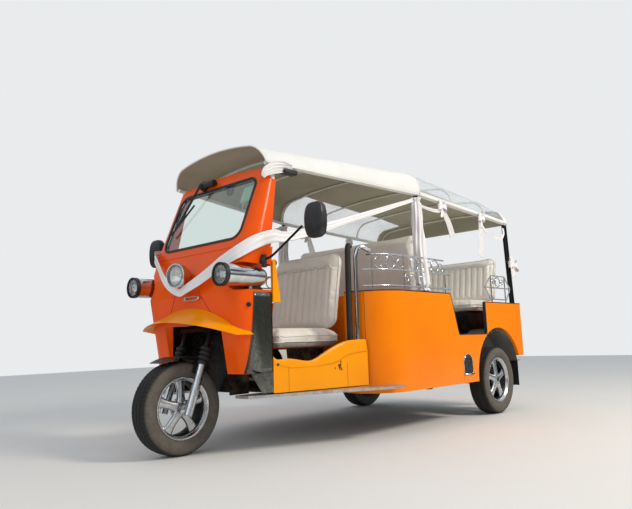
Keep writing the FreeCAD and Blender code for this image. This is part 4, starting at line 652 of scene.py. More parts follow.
def canopy_points(x, share, nose=0.0, inset=0.0):
    """Cloth points on a grid of places x and shares across."""
    x, share = np.meshgrid(x, share, indexing="ij")
    y, z, height = roof_section(x, share, inset=inset)
    ahead = nose * height * np.clip((x - KINK_X) / (FRONT_X - KINK_X), 0, 1)
    sag = slack(x) * (0.3 + 0.7 * height)
    return np.stack([x + ahead, y, z - sag], axis=-1)


crown_at_screen = roof_section(np.array([FRONT_X]), np.array([0.0]))[1]
print("roof height at the windscreen:", crown_at_screen.round(3))

# %% [markdown]
# The front cloth is one piece of canvas, laced tight over the hoops and hemmed all round. A cloth
# simulation would only repeat what the hoops decide, so the grid follows the sections, and a thin tube along
# each raw edge is the sewn hem.

# %% Front cloth with its rim and hems
CANVAS_THICK = 0.003
# The vehicle's two sides: the sign of Y, and the word in a piece's name.
SIDES = ((1, "left"), (-1, "right"))
FRONT_CLOTH_BACK, BAND_FRONT = KINK_X - 0.004, KINK_X - 0.006
across = np.linspace(-1, 1, 97)
front_grid = canopy_points(np.linspace(FRONT_CLOTH_BACK, FRONT_X, 86), across, NOSE)
front_canopy = thickened(surface("front_canopy", front_grid, [canvas_top, shaded_canvas_underside],
                                 slot="white_canvas"), CANVAS_THICK)
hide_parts("canopy_front")


def canvas_piping(name, path, radius):
    """A sewn edge: a thin tube of canvas that covers a sheet's raw edge."""
    return tube(name, path, radius, canvas_top, sides=8, slot="white_canvas")


edge_rim = canopy_points(np.array([FRONT_X]), across, NOSE)[0]
edge_back = canopy_points(np.array([FRONT_CLOTH_BACK]), across)[0]
canvas_piping("front_rim_piping", edge_rim, 0.0048)
canvas_piping("front_cloth_rear_hem", edge_back, 0.0048)
for side, word in SIDES:
    canvas_piping(f"front_hem_{word}", front_grid[:, -1 if side > 0 else 0], 0.0045)

# %% [markdown]
# Behind the middle post the canvas is only a band over the crown. Clear vinyl, which can be unzipped, covers
# both shoulders down to the rails, and a rear piece turns round a quarter circle into the flat gable. The
# same sections give all of them: the band and the vinyl take part of the share across, and the rear piece is
# the last section, drawn in and down row by row.

# %% Middle band, rear end and clear shoulders
BAND_HALF, REAR_HEM_X, CORNER = 0.42, -1.545, 0.045
shares = np.linspace(0, 1, 400)
band_share = float(np.interp(BAND_HALF, roof_section(np.full(400, -0.9), shares)[0], shares))
band_x = np.linspace(REAR_HEM_X - 0.012, BAND_FRONT, 60)
band_grid = canopy_points(band_x, np.linspace(-band_share, band_share, 61))
rear_band = thickened(surface("middle_band", band_grid, [canvas_top, shaded_canvas_underside],
                              slot="white_canvas"), CANVAS_THICK)
cap_x = np.linspace(REAR_HEM_X, REAR_X + CORNER, 7)
cap_rows = [canopy_points(np.array([x]), across)[0] for x in cap_x]
for turn in np.linspace(0, math.pi / 2, 8)[1:]:
    row = canopy_points(np.array([REAR_X + CORNER]), across, inset=CORNER * (1 - math.cos(turn)))[0]
    row[:, 0] = REAR_X + CORNER - CORNER * math.sin(turn)
    cap_rows.append(row)
gable_low = np.interp(REAR_X, ROOF_X, RAIL_Z)
top_row = cap_rows[-1]
for share in np.linspace(0, 1, 9)[1:]:
    row = top_row.copy()
    row[:, 2] += (gable_low - row[:, 2]) * share
    cap_rows.append(row)
cap_grid = np.array(cap_rows)
rear_cap = thickened(surface("rear_cap", cap_grid, [canvas_top, shaded_canvas_underside], flip=True,
                             slot="white_canvas"), CANVAS_THICK)
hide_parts("canopy_rear")
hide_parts("canopy_rear")
for side, word in SIDES:
    strip_share = side * np.linspace(band_share - 0.01, 1.0, 25)
    strip = canopy_points(np.linspace(REAR_HEM_X - 0.004, BAND_FRONT, 60), strip_share)
    clear_strip = surface(f"clear_strip_{word}", strip, vinyl_film, flip=side < 0, slot="clear_vinyl")
    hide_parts("clear_strips")
    hem_share = side * np.linspace(0.972, 1.004, 6)
    hem = canopy_points(np.linspace(REAR_HEM_X, BAND_FRONT, 60), hem_share)
    hem[..., 1] += side * 0.0015
    thickened(surface(f"strip_hem_{word}", hem, [canvas_top, shaded_canvas_underside], flip=side < 0,
                      slot="white_canvas"), CANVAS_THICK)
print("band covers", round(band_share, 3), "of the half arc; rear piece has", len(cap_grid), "rows")

# %% [markdown]
# ## Seats
# Each seat is foam in a vinyl cover: crowned where nothing presses on it, pulled in along the seams, with
# sewn channels on the backs. A pad starts as a box with round edges, which is a sphere whose eight parts are
# moved apart. Blender's cloth then blows it up like a filled cover, and the channels, which a real cover is
# stitched down along, are pressed in afterwards.

# %% Padding helpers
def power(wave, exponent):
    """A sine or cosine raised to a power with its sign kept."""
    return np.sign(wave) * np.abs(wave) ** exponent


def rounded_box(size, radii, rows=64, columns=96):
    """A box with round edges: a sphere's grid whose eight parts are moved apart to fill the box."""
    v = np.linspace(-math.pi / 2, math.pi / 2, rows)[:, None]
    u = np.linspace(0, 2 * math.pi, columns, endpoint=False)[None, :] + math.pi / columns
    way = np.stack([np.cos(v) * np.cos(u), np.cos(v) * np.sin(u), np.sin(v) * np.ones_like(u)], axis=-1)
    radii = np.array(radii, dtype=float)
    skin = np.sign(way) * (np.array(size) / 2 - radii) + radii * way
    poles = [np.full((1, columns, 3), (0, 0, end * size[2] / 2)) for end in (-1, 1)]
    return np.concatenate([poles[0], skin, poles[1]])


def soft_box(size, edge=0.22, rows=41, columns=96):
    """A superellipsoid grid round the origin: size across X, Y and Z, and how round its edges are."""
    v = np.linspace(-math.pi / 2, math.pi / 2, rows)[:, None]
    u = np.linspace(0, 2 * math.pi, columns, endpoint=False)[None, :]
    return np.stack([size[0] / 2 * power(np.cos(v), edge * 1.6) * power(np.cos(u), edge),
                     size[1] / 2 * power(np.cos(v), edge * 1.6) * power(np.sin(u), edge),
                     size[2] / 2 * power(np.sin(v), edge * 2.6) * np.ones_like(u)], axis=-1)


def placed(points, middle, lean=0.0):
    """Points turned about Y by lean radians and moved to middle."""
    c, s = math.cos(lean), math.sin(lean)
    x = points[..., 0] * c + points[..., 2] * s
    z = -points[..., 0] * s + points[..., 2] * c
    return np.stack([x, points[..., 1], z], axis=-1) + np.asarray(middle)


def points_of(piece):
    """A mesh's points as an (n, 3) array."""
    flat = np.empty(len(piece.data.vertices) * 3, dtype=np.float32)
    piece.data.vertices.foreach_get("co", flat)
    return flat.reshape(-1, 3).astype(float)


def set_points(piece, points):
    """Writes an (n, 3) array back into a mesh."""
    piece.data.vertices.foreach_set("co", np.ascontiguousarray(points, dtype=np.float32).ravel())
    piece.data.update()


def evaluated_mesh(piece):
    """The mesh that a piece's modifiers give."""
    return bpy.data.meshes.new_from_object(piece.evaluated_get(bpy.context.evaluated_depsgraph_get()))


def inflated(piece, voxel=0.0085, pressure=4.0, cap=0.02):
    """Remeshes a closed pad evenly and lets cloth under pressure swell it, by cap metres at most."""
    remesh = piece.modifiers.new("even_skin", "REMESH")
    remesh.mode, remesh.voxel_size, remesh.use_smooth_shade = "VOXEL", voxel, True
    skin = evaluated_mesh(piece)
    piece.modifiers.clear()
    piece.data = skin
    start = points_of(piece)
    cloth = piece.modifiers.new("cover", "CLOTH")
    cloth.settings.use_pressure = True
    cloth.settings.uniform_pressure_force = pressure
    cloth.settings.effector_weights.gravity = 0.0
    cloth.settings.tension_stiffness = cloth.settings.compression_stiffness = 40.0
    cloth.settings.bending_stiffness = 0.6
    cloth.settings.quality = 4
    cloth.collision_settings.use_collision = False
    cloth.point_cache.frame_start, cloth.point_cache.frame_end = 1, 12
    for step in range(1, 13):
        bpy.context.scene.frame_set(step)
    swollen = evaluated_mesh(piece)
    flat = np.empty(len(swollen.vertices) * 3, dtype=np.float32)
    swollen.vertices.foreach_get("co", flat)
    piece.modifiers.clear()
    moved = flat.reshape(-1, 3) - start
    reach = np.linalg.norm(moved, axis=1, keepdims=True)
    set_points(piece, start + moved * np.minimum(1.0, cap / np.maximum(reach, 1e-9)))
    bpy.data.meshes.remove(swollen)
    bpy.context.scene.frame_set(1)
    return piece


def laid_on(piece, spots, lift=0.0):
    """The nearest points of a pad's skin to the given spots, lifted off it along its normals."""
    found = []
    for spot in spots:
        _, place, normal, _ = piece.closest_point_on_mesh(Vector(spot))
        found.append(place + normal * lift)
    return np.array(found)


def rounded_ring(half_x, half_y, height, corner=0.05, count=160):
    """A level ring with round corners: a superellipse whose power comes from the corner's radius."""
    turn = np.linspace(0, 2 * math.pi, count, endpoint=False)
    exponent = 2 * corner / min(half_x, half_y)
    return np.stack([half_x * power(np.cos(turn), exponent), half_y * power(np.sin(turn), exponent),
                     np.full(count, height)], axis=-1)


print("a pad's blank:", rounded_box((0.5, 0.5, 0.1), (0.04, 0.04, 0.034)).shape)

# %% [markdown]
# A cushion is foam on a board: flat below and a little crowned above, with piping round both its seams. The
# piping is a ring laid on the swollen skin, point by nearest point, so that it follows every dent of it.

# %% Three seat cushions
CUSHION_CROWN, PIPING_R = 0.012, 0.0042


def seat_cushion(name, low, high):
    """A cushion in the box from low to high: inflated, flat underneath, piped round its two seams."""
    low, high = np.array(low), np.array(high)
    size, middle = high - low, (low + high) / 2
    start = placed(rounded_box(size - 0.012, (0.04, 0.04, 0.034)), middle)
    cushion = surface(name, start, cream_vinyl, closed_columns=True, slot="cream_vinyl")
    cushion = inflated(cushion, cap=0.02)
    points = points_of(cushion)
    across = (points[:, :2] - middle[:2]) / (size[:2] / 2)
    dome = np.clip(1 - across[:, 0] ** 4, 0, 1) * np.clip(1 - across[:, 1] ** 4, 0, 1)
    points[:, 2] += CUSHION_CROWN * dome * (points[:, 2] > middle[2])
    points = np.clip(points, low - [0.006, 0.006, 0], high + [0.006, 0.006, 0.02])
    set_points(cushion, points)
    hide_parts("seat_cushions")
    for level, word in ((0.30, "upper"), (-0.32, "lower")):
        ring = rounded_ring(size[0] / 2 + 0.02, size[1] / 2 + 0.02, size[2] * level, 0.02) + middle
        tube(f"{name}_{word}_piping", laid_on(cushion, ring, 0.001), PIPING_R, canvas_top, sides=6,
             closed=True, slot="cream_vinyl")
    print(name, "is", (points.max(axis=0) - points.min(axis=0)).round(3), "m")


seat_cushion("driver_cushion", (0.303, -0.33, 0.585), (0.90, 0.33, 0.688))
seat_cushion("middle_bench_cushion", (-0.72, -0.6, 0.742), (-0.37, 0.6, 0.848))
seat_cushion("rear_bench_cushion", (-1.545, -0.6, 0.832), (-1.085, 0.6, 0.908))

# %% [markdown]
# A back's cover is sewn down in upright lines, which makes its channels, under a plain band at the top. Each
# line presses the skin in by a bell curve across it, the step into the band fades them out, and on the middle
# back, which is seen from behind, the slack vinyl gathers in fine waves below the top edge.

# %% Three seat backs
PLEAT, CHANNEL_DEEP, SEAM_DEEP = 0.058, 0.011, 0.008


def seat_back(name, foot, top, thick, half, channel_side, band, gathers, corner):
    """A leaning back: channels at PLEAT spacing on one side, a plain band at its top, gathers in it."""
    foot, top = np.array(foot), np.array(top)
    tall = float(np.linalg.norm(top - foot))
    lean = math.atan2(top[0] - foot[0], top[1] - foot[1])
    middle = np.array([(foot[0] + top[0]) / 2 - thick / 2, 0.0, (foot[1] + top[1]) / 2])
    blank = rounded_box((thick - 0.016, 2 * half - 0.014, tall - 0.012), (0.036, corner, corner))
    start = placed(blank, middle, lean)
    back = surface(name, start, cream_vinyl, closed_columns=True, slot="cream_vinyl")
    back = inflated(back, cap=0.012)
    points = points_of(back) - middle
    c, s = math.cos(lean), math.sin(lean)
    depth = points[:, 0] * c - points[:, 2] * s
    height = points[:, 0] * s + points[:, 2] * c
    facing = np.clip(depth / (thick / 2), -1, 1) * channel_side
    below_band = 1 / (1 + np.exp((height - (tall / 2 - band)) / 0.004))
    from_line = np.abs((points[:, 1] / PLEAT) % 1 - 0.5) * PLEAT
    groove = np.exp(-(from_line / 0.007) ** 2)
    press = CHANNEL_DEEP * groove * np.clip(facing, 0, 1) ** 2 * below_band
    seam = np.exp(-((height - (tall / 2 - band)) / 0.008) ** 2)
    press = press + SEAM_DEEP * seam * np.clip(facing, 0, 1)
    if gathers:
        wave = np.sin(points[:, 1] / 0.021 + 2.1 * np.sin(points[:, 1] / 0.13))
        press = press + gathers * wave * np.exp(-((tall / 2 - height) / 0.09) ** 2)
    depth = depth - press * np.sign(depth) * (facing > 0)
    points[:, 0] = depth * c + height * s
    points[:, 2] = -depth * s + height * c
    set_points(back, points + middle)
    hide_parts("seat_backs")
    return back, middle, lean, tall


def back_piping(name, back, middle, lean, tall, thick, half, share, band, side):
    """Piping round a back's edge at a share of its thickness, and along the seam under its band."""
    ring = rounded_ring(tall / 2 + 0.02, half + 0.02, 0.0, 0.03)
    ring = np.stack([np.full(len(ring), share * thick / 2), ring[:, 1], ring[:, 0]], axis=-1)
    tube(f"{name}_edge_piping", laid_on(back, placed(ring, middle, lean), 0.001), 0.0045, canvas_top, sides=6,
         closed=True, slot="cream_vinyl")
    y = np.linspace(-half + 0.02, half - 0.02, 90)
    line = np.stack([np.full(90, side * thick), y, np.full(90, tall / 2 - band)], axis=-1)
    line = laid_on(back, placed(line, middle, lean), 0.003)
    # The line jumps a little from channel to channel, so it is averaged with its neighbours three times.
    for _ in range(3):
        line[1:-1] = (line[:-2] + 2 * line[1:-1] + line[2:]) / 4
    tube(f"{name}_band_piping", line, 0.006, canvas_top, sides=6, slot="cream_vinyl")


# Foot and top as (X, Z), thickness, half width, channelled side, band, gathers, corner, share of the piping.
BACKS = (("driver_back", (0.395, 0.694), (0.300, 1.245), 0.095, 0.33, 1, 0.12, 0.0, 0.085, 0.75),
         ("middle_back", (-0.26, 0.742), (-0.235, 1.39), 0.10, 0.6, -1, 0.14, 0.003, 0.05, -0.7),
         ("rear_back", (-1.45, 0.914), (-1.52, 1.31), 0.095, 0.6, 1, 0.07, 0.0, 0.05, 0.75))
for name, foot, top, thick, half, facing_side, band, gathers, corner, share in BACKS:
    back, middle, lean, tall = seat_back(name, foot, top, thick, half, facing_side, band, gathers, corner)
    back_piping(name, back, middle, lean, tall, thick, half, share, band, facing_side)
    print(name, "leans", round(math.degrees(lean), 1), "degrees and is", round(tall, 3), "m tall")

# %% [markdown]
# ## Tyres
# Each tyre is a closed ring: its profile runs from one bead over the sidewall, shoulder and tread and back.
# The tread is cut into the grid: three grooves that run round the tyre in a gentle zigzag, and short slots
# across the shoulders. The profile repeats round the axle, and where a groove or slot passes, the surface
# drops towards the axle by the groove's depth. Rings moulded in the sidewall stand 1.2 mm proud.

# %% Tyre
TYRE_R, TYRE_W, RIM_R = 0.265, 0.155, 0.178
GROOVE_DEEP = 0.0075


def tyre_profile():
    """Across and radius of the profile's points, from bead to bead over the tread."""
    half = TYRE_W / 2
    bead = 0.057
    side = [(-bead, RIM_R - 0.004), (-bead - 0.004, RIM_R + 0.002), (-bead - 0.012, RIM_R + 0.012),
            (-half + 0.0025, RIM_R + 0.028), (-half, RIM_R + 0.043), (-half + 0.002, RIM_R + 0.056),
            (-half + 0.007, RIM_R + 0.068), (-half + 0.0145, RIM_R + 0.0775), (-half + 0.022, TYRE_R - 0.0045)]
    wall = smooth_path([(a, r, 0) for a, r in side], 26)[:, :2]
    flat = np.linspace(-half + 0.022, half - 0.022, 47)[1:-1]
    tread = np.stack([flat, TYRE_R - 0.0045 * (flat / (half - 0.022)) ** 2], axis=-1)
    return np.concatenate([wall, tread, wall[::-1] * [-1, 1]])


def tyre_grid(centre, steps=420):
    """The tyre's grid with its tread pressed in, round the axle at centre."""
    profile = tyre_profile()
    across, radius = profile[:, 0][None, :], profile[:, 1][None, :]
    turn = np.linspace(0, 2 * math.pi, steps, endpoint=False)[:, None]
    zigzag = 0.0032 * (2 / math.pi) * np.arcsin(np.sin(turn * 60))
    drop = np.zeros((steps, profile.shape[0]))
    for place in (-0.030, 0.0, 0.030):
        drop = np.maximum(drop, np.clip(1.35 - np.abs(across - place - zigzag) / 0.0034, 0, 1))
    on_shoulder = np.clip((np.abs(across) - 0.036) / 0.004, 0, 1) * np.clip((radius - 0.242) / 0.006, 0, 1)
    slot = np.clip(1.3 - np.abs(np.sin(turn * 35 + across * 22)) / 0.24, 0, 1)
    drop = np.maximum(drop, slot * on_shoulder)
    rings = 0.0012 * sum(np.exp(-((radius - r) / 0.0011) ** 2) for r in (0.197, 0.214, 0.229))
    bulge = rings * np.sign(across) * (np.abs(across) > 0.06)
    reach = radius - GROOVE_DEEP * drop
    return np.stack([centre[0] + reach * np.cos(turn), centre[1] + across + bulge + 0 * turn,
                     centre[2] + reach * np.sin(turn)], axis=-1)


print("tyre profile:", len(tyre_profile()), "points, grooves", GROOVE_DEEP, "m deep")

# %% [markdown]
# ## Wheels
# The wheels are cast alloy with five broad spokes between rounded openings, a bright lip and a dished hub
# with five nuts. One spoke is a grid from the hub to the rim: its half width is waisted in the middle, its
# face is crowned, and five copies turned by a fifth of a circle stand round the barrel. Barrel, lip, hub and
# nuts are lathe profiles. The barrel's dark colour is partly its paint and partly painted shade, so the
# openings look deep and shadowed between the bright spokes.

# %% Alloy wheel
def lathe(profile, centre, steps=96, outward=1.0):
    """A profile of (across, radius) turned round the axle, which lies along Y through centre."""
    profile = np.asarray(profile, dtype=float)
    turn = np.linspace(0, 2 * math.pi, steps, endpoint=False)[:, None]
    return np.stack([centre[0] + profile[:, 1] * np.cos(turn),
                     centre[1] + outward * profile[:, 0] + 0 * turn,
                     centre[2] + profile[:, 1] * np.sin(turn)], axis=-1)


SPOKE_COUNT, SPOKE_FACE, NUT_CIRCLE = 5, 0.036, 0.037


def spoke_grid(centre, outward, number):
    """A closed spoke: rings from the hub to the barrel, waisted and crowned."""
    reach = np.linspace(0.034, 0.158, 26)
    along = (reach - reach[0]) / (reach[-1] - reach[0])
    half = 0.0215 + 0.020 * along ** 3.2 + 0.010 * (1 - along) ** 3
    around = np.linspace(0, 2 * math.pi, 20, endpoint=False)
    wide = power(np.cos(around), 0.75)[None, :] * half[:, None]
    deep = power(np.sin(around), 0.8)[None, :] * (0.011 + 0.004 * (1 - along[:, None]))
    crown = 0.004 * (1 - (wide / half[:, None]) ** 2)
    across = SPOKE_FACE - 0.012 * along[:, None] + deep + np.where(deep > 0, crown, 0)
    turn = 2 * math.pi / SPOKE_COUNT * number + math.pi / 2
    x = reach[:, None] * math.cos(turn) - wide * math.sin(turn)
    z = reach[:, None] * math.sin(turn) + wide * math.cos(turn)
    rings = np.stack([centre[0] + x, centre[1] + outward * across, centre[2] + z], axis=-1)
    ends = [np.broadcast_to(ring.mean(axis=0), (1, *ring.shape)) for ring in (rings[0], rings[-1])]
    return np.concatenate([ends[0], rings, ends[1]])


BARREL = ((-0.064, 0.170), (-0.064, 0.1755), (-0.0605, 0.1765), (-0.0585, 0.172), (-0.05, 0.168),
          (0.044, 0.168), (0.044, 0.1545), (-0.05, 0.153), (-0.06, 0.160))
LIP = ((0.0445, 0.168), (0.0585, 0.172), (0.0605, 0.1765), (0.064, 0.1755), (0.064, 0.1695), (0.0615, 0.166),
       (0.056, 0.1635), (0.052, 0.1575), (0.0445, 0.1545))
HUB = ((0.0, 0.012), (0.0, 0.052), (0.036, 0.052), (0.043, 0.047), (0.0455, 0.041), (0.0455, 0.030),
       (0.0535, 0.027), (0.0555, 0.020), (0.0555, 0.012))
NUT = ((0.044, 0.0), (0.044, 0.0075), (0.051, 0.0075), (0.053, 0.006), (0.053, 0.0))


def alloy_wheel(name, body, hub, outward, bore):
    """A dark barrel, and over it lip, hub, five spokes and their nuts as one bright piece."""
    hub_profile = np.array(HUB)
    # The hub's innermost points stay half a millimetre clear of the axle in its bore.
    hub_profile[hub_profile[:, 1] < 0.013, 1] = bore + 0.0005
    flip = outward > 0
    surface(f"{name}_barrel", lathe(BARREL, hub, 96, outward), barrel_paint_and_shade, closed_rows=True,
            closed_columns=True, flip=flip, body=body, slot="alloy_silver")
    parts = [(lathe(LIP, hub, 120, outward), True, True, flip),
             (lathe(hub_profile, hub, 60, outward), True, True, flip)]
    for number in range(SPOKE_COUNT):
        parts.append((spoke_grid(hub, outward, number), False, True, outward < 0))
        turn = 2 * math.pi / SPOKE_COUNT * (number + 0.5)
        nut_at = (hub[0] + NUT_CIRCLE * math.cos(turn), hub[1], hub[2] + NUT_CIRCLE * math.sin(turn))
        parts.append((lathe(NUT, nut_at, 6, outward), True, False, flip))
    wheel = together(name, parts, [silver_lacquer], body=body, slot="alloy_silver")
    crisp_edges(wheel, 50)
    return wheel


# The barrel is cast alloy under dark satin paint, dull with brake dust; its dark colour is also painted shade
# for the shadow inside the wheel.
barrel_paint_and_shade = bright_metal("barrel_dark_paint_and_painted_shade", "#3A3A3A", "#2A2725", 0.5, 0.7)
WHEEL_ROWS = (("front", "front_wheel", 1, 0.010), ("rear_left", "rear_left_wheel", 1, 0.017),
              ("rear_right", "rear_right_wheel", -1, 0.017))
for name, body, outward, bore in WHEEL_ROWS:
    low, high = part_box(f"{name}_rim")
    hub = np.array((low + high) / 2)
    tyre = surface(f"{name}_treaded_tyre", tyre_grid(hub), NODE_FINISH[f"{name}_tyre"], closed_rows=True,
                   closed_columns=True, flip=True, body=body, slot="tyre_rubber")
    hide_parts(f"{name}_tyre")
    wheel = alloy_wheel(f"{name}_alloy_wheel", body, hub, outward, bore)
    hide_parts(f"{name}_rim")
    print(name, "wheel faces:", len(tyre.data.polygons) + len(wheel.data.polygons))

# %% [markdown]
# ## Wedding ribbons and net
# A satin ribbon lies round the nose, over the side lamps and back to the middle posts. Swags of it hang under
# the rails, tied up with bows, and white net is gathered round the posts. A ribbon is a band carried along a
# curve through a few points: at each one its width and which way its face looks. Small waves along and across
# the band are the folds of cloth that is pulled in, and they fade where the cloth lies on the body.

# %% Ribbons
SATIN_THICK = 0.0008


def ribbon_grid(rows, face, count, ripple=0.003, folds=2.5, seed=0.0, columns=13):
    """A band through rows of (x, y, z, width) in mm; face gives the way it looks from its heading."""
    line = smooth_path(np.array(rows)[:, :3] / 1000, count)
    width = np.interp(np.linspace(0, len(rows) - 1, count), np.arange(len(rows)), np.array(rows)[:, 3]) / 1000
    heading = np.gradient(line, axis=0)
    heading /= np.linalg.norm(heading, axis=1, keepdims=True)
    out = face(line, heading)
    wide = np.cross(heading, out)
    wide /= np.linalg.norm(wide, axis=1, keepdims=True)
    out = np.cross(wide, heading)
    along = np.concatenate([[0], np.linalg.norm(np.diff(line, axis=0), axis=1).cumsum()])
    share = np.linspace(-1, 1, columns)[None, :]
    pulled = ripple if np.isscalar(ripple) else np.interp(along / along[-1], *ripple)
    pulled = np.broadcast_to(pulled, count)[:, None]
    wave = (np.sin(share * math.pi * folds + 2.2 * np.sin(along[:, None] * 5 + seed) + seed)
            + 0.5 * np.sin(share * math.pi * folds * 2.1 + along[:, None] * 11 + 3 * seed))
    return (line[:, None] + wide[:, None] * (width[:, None] / 2 * share)[..., None]
            + out[:, None] * (0.0015 + pulled * (wave + 1.5) / 2.5)[..., None])


def looks_out(side):
    """A face that looks away from the vehicle's side."""
    return lambda line, heading: np.broadcast_to([0.0, side, 0.0], line.shape)


def looks_from_nose(line, heading):
    """A face that looks square to a level path, away from the body."""
    out = np.stack([heading[:, 1], -heading[:, 0], 0 * heading[:, 0]], axis=-1)
    out /= np.linalg.norm(out, axis=1, keepdims=True)
    away = (out * (line - [0.3, 0, 1.0])).sum(axis=1, keepdims=True)
    return out * np.sign(away)


def ribbon_piece(name, rows, face, count, wide, held, rests, finish=ribbon_satin, **shape):
    """A sewn band as a cloth sheet with its thickness; wide, its flat width in metres, is not used."""
    grid = ribbon_grid(rows, face, count, **shape)
    piece = thickened(surface(name, grid, [finish] * 2, slot="white_ribbon"), SATIN_THICK, offset=0)
    return piece


def other_side(rows):
    """The same rows on the vehicle's other side."""
    return [(x, -y, z, width) for x, y, z, width in rows]


NEAR_ARM = [(1392, 0, 930, 44), (1388, 60, 946, 50), (1376, 170, 988, 58), (1361, 275, 1038, 62),
            (1337, 352, 1086, 66), (1300, 437, 1132, 72), (1215, 494, 1190, 78), (1085, 500, 1234, 76),
            (860, 520, 1272, 56), (-144, 681, 1605, 26)]
FAR_ARM = [(-144, -681, 1605, 26), (860, -520, 1272, 56), (1085, -500, 1240, 76), (1215, -484, 1222, 70),
           (1300, -400, 1196, 62), (1345, -290, 1124, 56), (1374, -195, 1040, 50), (1388, -105, 974, 46)]
nose_ribbon = ribbon_piece("nose_ribbon", FAR_ARM + NEAR_ARM, looks_from_nose, 400, 0.072, "stretched",
                           ["cowl", "roof_posts"], ripple=((0, 0.2, 0.4, 0.6, 0.8, 1),
                                                           (0.006, 0.007, 0.003, 0.003, 0.007, 0.006)))
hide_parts("ribbons")
MID_SWAG = [(-183, 684, 1572, 20), (-300, 696, 1556, 24), (-440, 700, 1560, 30), (-492, 690, 1600, 26)]
MID_TAIL = [(-478, 690, 1612, 34), (-492, 692, 1590, 46), (-545, 712, 1490, 76), (-600, 714, 1382, 84)]
REAR_SWAG = [(-1102, 690, 1590, 26), (-1180, 704, 1480, 28), (-1400, 708, 1450, 30), (-1500, 702, 1490, 26),
             (-1538, 688, 1556, 20)]
REAR_TAIL = [(-1108, 690, 1594, 40), (-1085, 704, 1450, 76), (-1050, 704, 1262, 84)]
SWAGS = (("mid_swag", MID_SWAG, 60, 0.03), ("mid_tail", MID_TAIL, 50, 0.08),
         ("rear_swag", REAR_SWAG, 90, 0.034), ("rear_tail", REAR_TAIL, 60, 0.09))
print("nose ribbon:", len(FAR_ARM + NEAR_ARM), "rows,", len(nose_ribbon.data.polygons), "faces")

# %% [markdown]
# Net is far more holes than thread, so it is drawn as a partly see-through white skin with fine lines. Round
# the middle post it is a sleeve with deep folds: its radius swings nine times round the post, and the swing
# drifts with height so that the folds wander. A bow is four loops and two tails out of one knot.

# %% Net
def net(name, opacity):
    """White net: thin threads 4 mm apart over a see-through skin; real net has 1 mm holes."""
    material, tree, shader, _ = new_material(name)
    sheet_uv = add_node(tree, "ShaderNodeUVMap").outputs[0]
    lines = [add_node(tree, "ShaderNodeTexWave", {"Vector": sheet_uv, "Scale": WAVE_PERIOD / 0.004},
                      wave_type="BANDS", bands_direction=way).outputs["Fac"] for way in ("X", "Y")]
    thread = between(tree, sums(tree, lines[0], lines[1], "MAXIMUM"), 0.7, 0.95)
    shader.inputs["Base Color"].default_value = paint("#F4F1F0")
    tree.links.new(between(tree, thread, 0.0, 1.0, opacity, min(1.0, opacity + 0.3)), shader.inputs["Alpha"])
    shader.inputs["Roughness"].default_value = 0.6
    shader.inputs["Sheen Weight"].default_value = 0.3
    return material


white_net = net("white_net", 0.55)
gathered_net = net("white_net_gathered", 0.82)
for side, word in SIDES:
    for part, rows, count, wide in SWAGS:
        rows = rows if side > 0 else other_side(rows)
        is_tail = part.endswith("tail")
        swag = ribbon_piece(f"{part}_{word}", rows, looks_out(side), count, wide, "hung",
                            ["roof_frame"], finish=white_net if is_tail else ribbon_satin, ripple=0.009,
                            folds=3.2 if is_tail else 2.0, seed=1.3 * side + count)
        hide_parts("ribbons")


def sleeve(name, foot, top, radius, depth, folds, finish, count=120, steps=84):
    """Net gathered round a post from foot to top: a closed tube whose radius swings round it."""
    foot, top = np.array(foot), np.array(top)
    share = np.linspace(0, 1, count)[:, None]
    turn = np.linspace(0, 2 * math.pi, steps, endpoint=False)[None, :]
    height = share * np.linalg.norm(top - foot)
    base = np.interp(share, *radius)
    tied = 1 - 0.35 * sum(np.exp(-((share - place) / 0.02) ** 2) for place in (0.04, 0.96))
    swing = depth * (np.sin(folds * turn + 2.4 * np.sin(height * 7)) + 0.5 * np.sin(3 * turn + height * 23))
    reach = np.maximum(base * tied + swing, 0.0185)
    ring = np.stack([reach * np.cos(turn), reach * np.sin(turn), 0 * turn + 0 * share], axis=-1)
    return thickened(surface(name, foot + (top - foot) * share[..., None] + ring, [finish] * 2,
                             closed_columns=True, flip=True, slot="white_ribbon"), SATIN_THICK)


def bow(name, knot, across, size, face):
    """Loops and tails of gathered satin out of a knot: across is the way the loops spread, face looks out."""
    knot, across, face = (np.array(v, dtype=float) for v in (knot, across, face))
    down = np.array([0.0, 0.0, -1.0])
    grids = []
    share = np.linspace(-1, 1, 9)[None, :, None]
    turn = np.linspace(0, 2 * math.pi, 40)[:, None, None]
    for side, length, lean in ((1, 1.0, 0.15), (-1, 1.0, 0.15), (1, 0.75, -0.55), (-1, 0.75, -0.55)):
        reach = size * length * (1 - np.cos(turn)) / 2
        lift = 0.30 * size * np.sin(turn) * length
        wide = size * 0.30 * np.sin(turn / 2) * share + 0.006 * share
        fold = 0.05 * size * np.sin(share * 9 + turn * 2) * np.sin(turn / 2)
        grids.append(knot + across * side * reach + down * (lean * reach + wide) + face * (lift + fold + 0.006))
    for side, length in ((1, 1.5), (-1, 1.2)):
        fall = np.linspace(0, 1, 30)[:, None, None]
        wide = size * (0.10 + 0.20 * fall) * share
        fold = 0.07 * size * np.sin(share * 8 + side) * fall
        grids.append(knot + down * size * length * fall + across * (side * size * 0.30 * fall + wide)
                     + face * (fold + 0.004))
    spin = np.linspace(0, 2 * math.pi, 16, endpoint=False)[None, :]
    cross = np.linspace(-math.pi / 2, math.pi / 2, 9)[:, None]
    ball = 0.13 * size * (np.cos(cross) * np.cos(spin))[..., None] * across
    ball = ball + 0.11 * size * (np.cos(cross) * np.sin(spin))[..., None] * face
    ball = ball + 0.17 * size * (np.sin(cross) * np.ones_like(spin))[..., None] * down
    parts = [(grid, False, False, False) for grid in grids]
    parts.append((knot + ball + face * 0.01, False, True, False))
    made = thickened(together(name, parts, [ribbon_satin] * 2, slot="white_ribbon"), SATIN_THICK, offset=0)


POST_FOOT, POST_TOP = np.array([-0.165, 0.703, 0.945]), np.array([-0.165, 0.681, 1.62])
